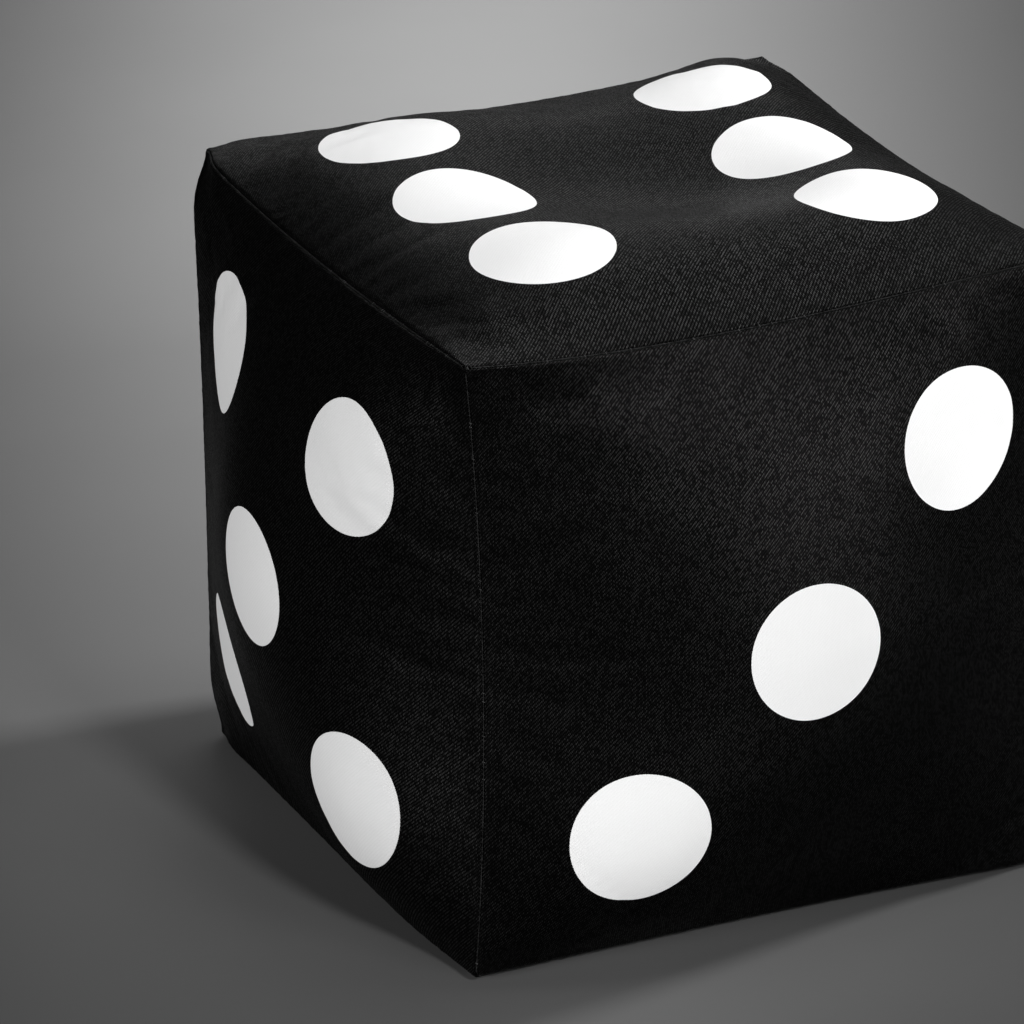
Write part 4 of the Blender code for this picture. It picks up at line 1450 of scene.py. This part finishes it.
@dataclass
class Zip:
    """The zip: woven tapes, nylon teeth, metal stops, slider and pull tab."""

    cushion: Cushion
    rows: RowMaker
    effects: Effects
    coil: bpy.types.Material
    metal: bpy.types.Material
    tape_finish: TwillFinish = TwillFinish(
        deep=(0.004, 0.004, 0.004), painted_highlight=(0.035, 0.035, 0.035), yarn=0.00045, roughness=0.7, relief=0.0001, lint=0.0
    )
    teeth: RowSizes = RowSizes(pitch=0.00135, length=0.0021, thickness=0.00100, cord=0.00042)
    slider_x: float = 0.1592
    slider_length: float = 0.011
    slider_half: float = 0.0045
    plate: float = 0.0010
    tab_y: float = 0.232207
    tab_length: float = 0.0230
    tab_half: float = 0.0033
    stop_length: float = 0.0025

    def build(self) -> None:
        """Makes each piece and places it on its body."""
        for side, sign in (("upper", 1), ("lower", -1)):
            self.tape(f"zip_{side}_tape", sign)
            self.coil_row(f"zip_{side}_coil", sign)
            self.top_stop(f"zip_{side}_top_stop", sign)
        self.bottom_stop()
        self.slider()
        self.pull_tab()

    def placed(self, piece: bpy.types.Object, body: str, slot: str, node: str) -> None:
        """Sets a piece on its body."""
        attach(piece, body)
        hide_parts(node)

    def tape(self, node: str, sign: int) -> None:
        """One side's tape, with a thicker woven edge by the teeth."""
        place = self.cushion.zip
        half = place.length / 2 + place.tape_spare
        x = np.linspace(-half, half, 260)
        z = np.array([0.0006, 0.0010, 0.0028, 0.0032, 0.0050, 0.0075, 0.0100, 0.0125, place.tape_width])
        cord = np.array([0.0, 0.00005, 0.00005, 0, 0, 0, 0, 0.00005, 0.0])
        columns, rows = np.meshgrid(x, z)
        sag = np.outer(smooth((z - 0.004) / 0.01), np.sin(x * 190) * 0.00016 + np.sin(x * 83 + 1) * 0.0001)
        depth = place.tape_front - 0.0001 + cord[:, None] - abs(sag)
        points = np.stack([columns, depth, place.height + sign * rows], -1)
        quads = grid_quads(len(z), len(x), sign > 0).reshape(-1, 4)
        flat = np.stack([columns, rows * sign], -1).reshape(-1, 2)
        material = self.tape_finish.material(f"{node}_weave", self.effects)
        piece = shown(f"{node[4:]}_woven", mesh_from(node, points.reshape(-1, 3), quads, flat), material)
        thicken(piece, 0.0005)
        self.placed(piece, "cushion", "zip_tape", node)
        LOG.info("%s", piece.name)

    def coil_row(self, node: str, sign: int) -> None:
        """One side's teeth, on the cord that they are sewn to."""
        place = self.cushion.zip
        x = np.linspace(-place.length / 2, place.length / 2, 60) + sign * self.teeth.pitch / 4
        x = np.clip(x, -place.length / 2 + 0.0008, place.length / 2 - 0.0008)
        middle = place.coil_front - self.teeth.thickness / 2 - 0.0003
        points = np.stack([x, np.full(60, middle), np.full(60, place.height + sign * 0.00155)], -1)
        way = np.tile([0.18 * sign, 0.0, 1.0], (60, 1))
        piece = self.rows.row(f"{node[4:]}_teeth", [(points, way)], self.teeth, self.coil)
        self.placed(piece, "cushion", "zip_coil", node)

    def stop(self, node: str, x_span: tuple[float, float], z_span: tuple[float, float]) -> None:
        """A small metal stop clamped on the teeth."""
        place = self.cushion.zip
        low = (x_span[0], place.tape_front + 0.0003, place.height + z_span[0])
        high = (x_span[1], place.plate_back + 0.0010, place.height + z_span[1])
        mesh = joined(node, [rounded_box(low, high, 0.00035)])
        self.placed(shown(f"{node[4:]}_clamp", mesh, self.metal), "cushion", "zip_metal", node)

    def top_stop(self, node: str, sign: int) -> None:
        """The stop at the closed end of one side."""
        end = self.cushion.zip.length / 2 + 0.0003
        z_span = (0.0006, 0.0028) if sign > 0 else (-0.0028, -0.0006)
        self.stop(node, (end, end + self.stop_length), z_span)

    def bottom_stop(self) -> None:
        """The stop across both sides at the open end."""
        end = -self.cushion.zip.length / 2 - 0.0003
        self.stop("zip_bottom_stop", (end - self.stop_length, end), (-0.0028, 0.0028))

    def slider(self) -> None:
        """Two waisted plates, the post between the teeth, lips beside them, and the bridge."""
        place, x, half = self.cushion.zip, self.slider_x, self.slider_half
        back = place.tape_front - place.tape_thickness - 0.0003
        low, high = x - self.slider_length / 2, x + self.slider_length / 2
        front = place.plate_back + self.plate
        z = place.height
        parts = [
            self.waisted_plate(low, high, place.plate_back, front),
            self.waisted_plate(low, high, back - self.plate, back),
            rounded_box((high - 0.0040, back - 0.0004, z - 0.0003), (high - 0.0012, place.plate_back + 0.0004, z + 0.0003), 0.0001),
        ]
        for side in (-1, 1):
            ends = sorted((z + side * (half - 0.0011), z + side * (half - 0.0002)))
            lip = ((low + 0.0006, place.tape_front + 0.0004, ends[0]), (high - 0.0006, place.plate_back + 0.0005, ends[1]))
            parts.append(rounded_box(*lip, 0.0002))
        parts.append(self.bridge(front))
        piece = shown("slider_body", joined("slider_body", parts), self.metal)
        self.placed(piece, "slider", "zip_metal", "zip_slider")
        LOG.info("slider_body: %d faces", len(piece.data.polygons))

    def waisted_plate(self, low: float, high: float, back: float, front: float) -> bmesh.types.BMesh:
        """A plate that narrows towards the closed end of the zip, with rounded edges."""
        half, z = self.slider_half, self.cushion.zip.height
        outline = []
        for step in range(24):
            turn = 2 * math.pi * step / 24
            c, s = math.cos(turn), math.sin(turn)
            along = math.copysign(abs(c) ** 0.45, c)
            width = half * (0.93 + 0.07 * along)
            outline.append(((low + high) / 2 + (high - low) / 2 * along, math.copysign(abs(s) ** 0.45, s) * width))
        made = bmesh.new()
        bottom = [made.verts.new((x, back, z + w)) for x, w in outline]
        face = made.faces.new(bottom)
        lifted = bmesh.ops.extrude_face_region(made, geom=[face])
        verts = [item for item in lifted["geom"] if isinstance(item, bmesh.types.BMVert)]
        bmesh.ops.translate(made, verts=verts, vec=(0, front - back, 0))
        bmesh.ops.recalc_face_normals(made, faces=made.faces)
        rim = [edge for edge in made.edges if abs(edge.verts[0].co.y - edge.verts[1].co.y) < 1e-6]
        bmesh.ops.bevel(made, geom=rim, offset=0.00022, segments=2, profile=0.6, affect="EDGES")
        return made

    def bridge(self, front: float) -> bmesh.types.BMesh:
        """The arched loop on the slider that holds the pull tab."""
        x, z = self.slider_x, self.cushion.zip.height
        inner, wall, half, width = 0.00202, 0.0010, 0.0040, 0.0012
        made = bmesh.new()
        rings = []
        for step in range(17):
            turn = math.pi * step / 16
            c, s = math.cos(turn), math.sin(turn)
            along, rise = math.copysign(abs(c) ** 0.5, c), abs(s) ** 0.5
            ring = []
            for out, side in ((0, -1), (0, 1), (1, 1), (1, -1)):
                reach, top = half - wall * (1 - out), inner + wall * out
                lifted = front - 0.0003 + (top + 0.0003) * rise
                ring.append(made.verts.new((x - along * reach, lifted, z + side * width)))
            rings.append(ring)
        for first, second in zip(rings, rings[1:]):
            for i in range(4):
                made.faces.new((first[i], first[(i + 1) % 4], second[(i + 1) % 4], second[i]))
        made.faces.new(rings[0][::-1])
        made.faces.new(rings[-1])
        bmesh.ops.recalc_face_normals(made, faces=made.faces)
        long_edges = [edge for edge in made.edges if abs(edge.verts[0].co.z - edge.verts[1].co.z) < 1e-6]
        outer = [edge for edge in long_edges if min(vert.co.y for vert in edge.verts) > front + 0.0004]
        bmesh.ops.bevel(made, geom=outer, offset=0.00015, segments=1, affect="EDGES")
        return made

    def pull_tab(self) -> None:
        """The tab: a rounded plate with a window for the bridge and a slot at its free end."""
        bar, window, far = 0.0005, 0.0017, 0.0045
        half, length = self.tab_half, self.tab_length
        data = bpy.data.curves.new("pull_tab_plate", "CURVE")
        data.dimensions = "2D"
        data.fill_mode = "BOTH"
        data.extrude = 0.0003
        data.bevel_depth = 0.0002
        data.offset = -0.0002
        data.bevel_resolution = 2
        end = -length + half
        outline = [(bar, -half + 0.0008), (bar, half - 0.0008), (bar - 0.0008, half), (-0.009, half), (-0.012, half - 0.0005)]
        outline += [(end + half * math.cos(a), half * math.sin(a)) for a in np.linspace(1.75, 4.53, 15)]
        outline += [(-0.012, -half + 0.0005), (-0.009, -half), (bar - 0.0008, -half)]
        hole = [(-bar, -window), (-far, -window), (-far, window), (-bar, window)]
        slot = [(-0.0175 + 0.0030 * math.cos(a), 0.0011 * math.sin(a)) for a in np.linspace(0, -2 * math.pi, 17)[:-1]]
        for points in (outline, hole, slot):
            spline = data.splines.new("POLY")
            spline.use_cyclic_u = True
            spline.points.add(len(points) - 1)
            for point, place in zip(spline.points, points):
                point.co = (*place, 0, 1)
        shape = bpy.data.objects.new("pull_tab_shape", data)
        bpy.context.scene.collection.objects.link(shape)
        graph = bpy.context.evaluated_depsgraph_get()
        mesh = bpy.data.meshes.new_from_object(shape.evaluated_get(graph), depsgraph=graph)
        bpy.data.objects.remove(shape)
        place = Matrix.Translation((self.slider_x, self.tab_y, self.cushion.zip.height))
        mesh.transform(place @ Matrix.Rotation(math.pi / 2, 4, "X"))
        clean = bmesh.new()
        clean.from_mesh(mesh)
        bmesh.ops.remove_doubles(clean, verts=clean.verts, dist=1e-6)
        bmesh.ops.recalc_face_normals(clean, faces=clean.faces)
        clean.to_mesh(mesh)
        clean.free()
        piece = shown("pull_tab_plate", mesh, self.metal)
        mesh.polygons.foreach_set("use_smooth", np.zeros(len(mesh.polygons), bool))
        self.placed(piece, "pull_tab", "zip_metal", "zip_pull_tab")
        LOG.info("pull_tab_plate: %d faces", len(mesh.polygons))


# ---------------------------------------------------------------------------------------------------
# The liner bag and the beads
# ---------------------------------------------------------------------------------------------------


@dataclass
class Inside:
    """The beads in their sewn liner bag, which fills the cover."""

    cushion: Cushion
    rows: RowMaker
    effects: Effects
    thread: bpy.types.Material
    finish: TwillFinish = TwillFinish(
        deep=(0.50, 0.50, 0.48), painted_highlight=(0.78, 0.78, 0.76), yarn=0.0006, roughness=0.8, relief=0.00012, lint=0.0
    )
    cells: int = 40
    liner_inset: float = 0.01507
    liner_base: float = 0.002
    bead_inset: float = 0.0274
    bead_base: float = 0.0055
    cloth: float = 0.0005
    allowance: float = 0.004

    def build(self) -> None:
        """Makes the beads first, then the bag around them."""
        self.beads()
        material = self.finish.material("liner_weave", self.effects)
        self.panel("liner_top", "liner_top_panel", Face.TOP, material)
        self.panel("liner_bottom", "liner_bottom_panel", Face.BOTTOM, material)
        self.band(material)
        self.threads()

    def grid(self, face: Face, inset: float, base: float) -> Array:
        """A face of an inner layer, in rows of points."""
        lines = np.linspace(-1, 1, self.cells + 1)
        u, v = np.meshgrid(lines, lines)
        return self.cushion.at(face, u, v, inset, base)

    def beads(self) -> None:
        """The filling as one closed, settled body."""
        size = self.cells + 1
        points, quads = [], []
        for number, face in enumerate(Face):
            points.append(self.grid(face, self.bead_inset, self.bead_base).reshape(-1, 3))
            quads.append(grid_quads(size, size, face.mirrored).reshape(-1, 4) + number * size * size)
        merged, faces, _ = welded(np.concatenate(points), np.concatenate(quads))
        material = BeadFinish().material("packed_beads", self.effects)
        piece = shown("beads", mesh_from("beads", merged, faces), material)
        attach(piece, "cushion")
        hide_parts("bead_filling")
        LOG.info("beads: %d points", len(merged))

    def sheet(self, name: str, node: str, mesh: bpy.types.Mesh, flat: tuple[float, float], finish: bpy.types.Material) -> None:
        """Places one piece of liner cloth."""
        piece = shown(name, mesh, finish)
        thicken(piece, self.cloth)
        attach(piece, "cushion")
        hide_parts(node)
        LOG.info("%s: cut %.0f by %.0f mm", name, flat[0] / MM, flat[1] / MM)

    def panel(self, name: str, node: str, face: Face, finish: bpy.types.Material) -> None:
        """The top or the bottom of the bag."""
        points = self.grid(face, self.liner_inset, self.liner_base)
        reach = HALF - self.liner_inset
        lines = np.linspace(-reach, reach, self.cells + 1)
        flat = np.stack(np.meshgrid(lines, lines), -1)
        quads = grid_quads(self.cells + 1, self.cells + 1, face.mirrored).reshape(-1, 4)
        mesh = mesh_from(name, points.reshape(-1, 3), quads, flat.reshape(-1, 2))
        self.sheet(name, node, mesh, (2 * reach, 2 * reach), finish)

    def band(self, finish: bpy.types.Material) -> None:
        """The four sides of the bag in one strip of cloth."""
        strips = []
        for face, backwards in ((Face.FRONT, False), (Face.RIGHT, False), (Face.BACK, True), (Face.LEFT, True)):
            grid = self.grid(face, self.liner_inset, self.liner_base)
            grid = grid[:, ::-1] if backwards else grid
            strips.append(grid[:, :-1])
        points = np.concatenate([*strips, strips[0][:, :1]], axis=1)
        rows, columns = points.shape[:2]
        reach = SIDE - self.liner_inset
        width = 8 * (HALF - self.liner_inset)
        flat = np.stack(np.meshgrid(np.linspace(0, width, columns), np.linspace(0, reach, rows)), -1)
        inner = 0.0003
        points = points + (0, 0, 0)
        points[0, :, 2] += inner
        points[-1, :, 2] -= inner
        mesh = mesh_from("liner_band", points.reshape(-1, 3), grid_quads(rows, columns, False).reshape(-1, 4), flat.reshape(-1, 2))
        self.sheet("liner_band", "liner_side_band", mesh, (width, reach), finish)

    def threads(self) -> None:
        """The thread round the top and the bottom rim of the bag."""
        for name, level in (("top", 1), ("bottom", -1)):
            lines = []
            for face, backwards in ((Face.FRONT, False), (Face.RIGHT, False), (Face.BACK, True), (Face.LEFT, True)):
                t = np.linspace(-0.985, 0.985, 50) * (-1 if backwards else 1)
                points = self.cushion.at(face, t, np.full(50, float(level)), self.liner_inset, self.liner_base)
                way = np.tile(face.normal + (0, 0, -level), (50, 1))
                points = points - (face.normal + (0, 0, level)) * 0.0006
                lines.append((points, way))
            sizes = RowSizes(pitch=0.0035, length=0.0020, thickness=0.0005, cord=0.0003)
            piece = self.rows.row(f"liner_stitches_{name}", lines, sizes, self.thread)
            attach(piece, "cushion")
            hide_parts(f"liner_thread_{name}")


# ---------------------------------------------------------------------------------------------------
# The studio
# ---------------------------------------------------------------------------------------------------


@dataclass(frozen=True)
class SoftLight:
    """A soft box: where it stands, its size in metres, its power in watts and its colour."""

    name: str
    place: tuple[float, float, float]
    size: tuple[float, float]
    power: float
    aim: tuple[float, float, float] = (0.0, 0.0, 0.25)
    colour: Colour = (1.0, 1.0, 1.0)

    def build(self) -> None:
        """Adds the light, turned to what it lights."""
        data = bpy.data.lights.new(self.name, "AREA")
        data.shape = "RECTANGLE"
        data.size, data.size_y = self.size
        data.energy = self.power
        data.color = self.colour
        made = bpy.data.objects.new(self.name, data)
        made.location = self.place
        made.rotation_euler = (Vector(self.aim) - Vector(self.place)).to_track_quat("-Z", "Y").to_euler()
        bpy.context.scene.collection.objects.link(made)


@dataclass(frozen=True)
class Studio:
    """A plain floor, soft lights and the camera."""

    azimuth: float = math.radians(-24.98)
    elevation: float = math.radians(22.99)
    roll: float = math.radians(-0.28)
    distance: float = 12.322 * SIDE
    lens: float = 281.53
    aim_right: float = -0.175 * SIDE
    aim_up: float = -0.015 * SIDE
    # The floor's colours and its pool: a pool of light painted into the floor, paler behind the die.
    floor_near: Colour = (0.015, 0.015, 0.015)
    floor_far: Colour = (0.365, 0.365, 0.365)
    pool_middle: tuple[float, float] = (-0.125, 1.471)
    pool_size: tuple[float, float] = (0.424, 1.595)
    glow: float = 0.04
    lights: tuple[SoftLight, ...] = (
        SoftLight("side_key", (4.6, 0.15, 2.5), (0.6, 0.6), 264.0),
        SoftLight("front_key", (-0.10, -3.2, 2.3), (0.5, 0.5), 58.0),
        SoftLight("key", (1.0, 1.5, 2.8), (1.8, 1.2), 20.0),
        SoftLight("rim", (1.2, 3.0, 1.4), (1.8, 0.8), 8.5),
        SoftLight("overhead", (0.5, -0.1, 2.9), (1.0, 1.0), 16.5),
        SoftLight("front_fill", (1.2, -3.4, 0.6), (1.4, 0.8), 58.0),
        SoftLight("left_fill", (-3.2, -0.8, 0.8), (1.0, 0.8), 60.0),
    )

    def build(self) -> None:
        """Sets everything up around the die."""
        self.floor()
        for light in self.lights:
            light.build()
        world = bpy.data.worlds.new("soft_room")
        world.use_nodes = True
        room = world.node_tree.nodes["Background"]
        room.inputs["Color"].default_value = (1, 1, 1, 1)
        room.inputs["Strength"].default_value = self.glow
        bpy.context.scene.world = world
        bpy.context.scene.view_settings.view_transform = "Standard"
        self.camera()

    def floor(self) -> None:
        """A plain floor with a painted pool of light behind the die: its colour is paler there."""
        mesh = bpy.data.meshes.new("floor")
        reach, level = 14.0, -0.0004
        corners = [(-reach, -reach, level), (reach, -reach, level), (reach, reach, level), (-reach, reach, level)]
        mesh.from_pydata(corners, [], [(0, 1, 2, 3)])
        material, nodes, shader = new_material("floor_paint")
        place = nodes.add("ShaderNodeTexCoord").outputs["Object"]
        turned = nodes.add("ShaderNodeVectorRotate", {"Vector": place}, rotation_type="Z_AXIS")
        turned.inputs["Angle"].default_value = -self.azimuth
        away = nodes.vector("SUBTRACT", turned.outputs[0], (*self.pool_middle, 0.0))
        away = nodes.vector("LENGTH", nodes.vector("DIVIDE", away, (*self.pool_size, 1.0)))
        # A painted pool of light: the floor's colour is paler round the pool's middle behind the die.
        painted_light_pool = nodes.math("EXPONENT", nodes.math("MULTIPLY", nodes.math("POWER", away, 1.99), -1.0))
        mottle = nodes.ramp(nodes.noise(place, 3.0, 3.0), 0.3, 0.7, 0.98, 1.02)
        colour = nodes.mix(painted_light_pool, self.floor_near, self.floor_far)
        nodes.give(shader.inputs["Base Color"], nodes.vector("SCALE", colour, mottle))
        shader.inputs["Roughness"].default_value = 0.85
        shader.inputs["Specular IOR Level"].default_value = 0.2
        shown("floor", mesh, material)

    def camera(self) -> None:
        """The camera, at the angle from which the die is shown."""
        back = Vector((
            math.sin(self.azimuth) * math.cos(self.elevation),
            -math.cos(self.azimuth) * math.cos(self.elevation),
            math.sin(self.elevation),
        ))
        right = Vector((math.cos(self.azimuth), math.sin(self.azimuth), 0))
        up = back.cross(right)
        aim = Vector((0, 0, HALF)) + right * self.aim_right + up * self.aim_up
        data = bpy.data.cameras.new("camera")
        data.lens = self.lens
        data.sensor_width = 36
        data.clip_end = 100
        made = bpy.data.objects.new("camera", data)
        turned_right = math.cos(self.roll) * right + math.sin(self.roll) * up
        turned_up = back.cross(turned_right)
        place = Matrix((turned_right, turned_up, back)).transposed().to_4x4()
        place.translation = aim + back * self.distance
        made.matrix_world = place
        bpy.context.scene.collection.objects.link(made)
        bpy.context.scene.camera = made


def main() -> None:
    """Builds the die from the inside out, then the studio."""
    logging.basicConfig(level=logging.INFO, format="%(name)s: %(message)s")
    effects = Effects.make()
    cushion, rows = Cushion(), RowMaker()
    thread = Finish.THREAD.value.material("cover_thread_finish", effects)
    liner_thread = Finish.LINER_THREAD.value.material("liner_thread_finish", effects)
    coil = Finish.COIL.value.material("zip_nylon", effects)
    metal = Finish.METAL.value.material("zip_black_metal", effects)
    Inside(cushion, rows, effects, liner_thread).build()
    gather = SeamGather(cushion, PulledCloth(cushion))
    Cover(gather, effects).build()
    Seams(gather, rows, thread).build()
    Zip(cushion, rows, effects, coil, metal).build()
    Studio().build()


if __name__ == "__main__":
    main()
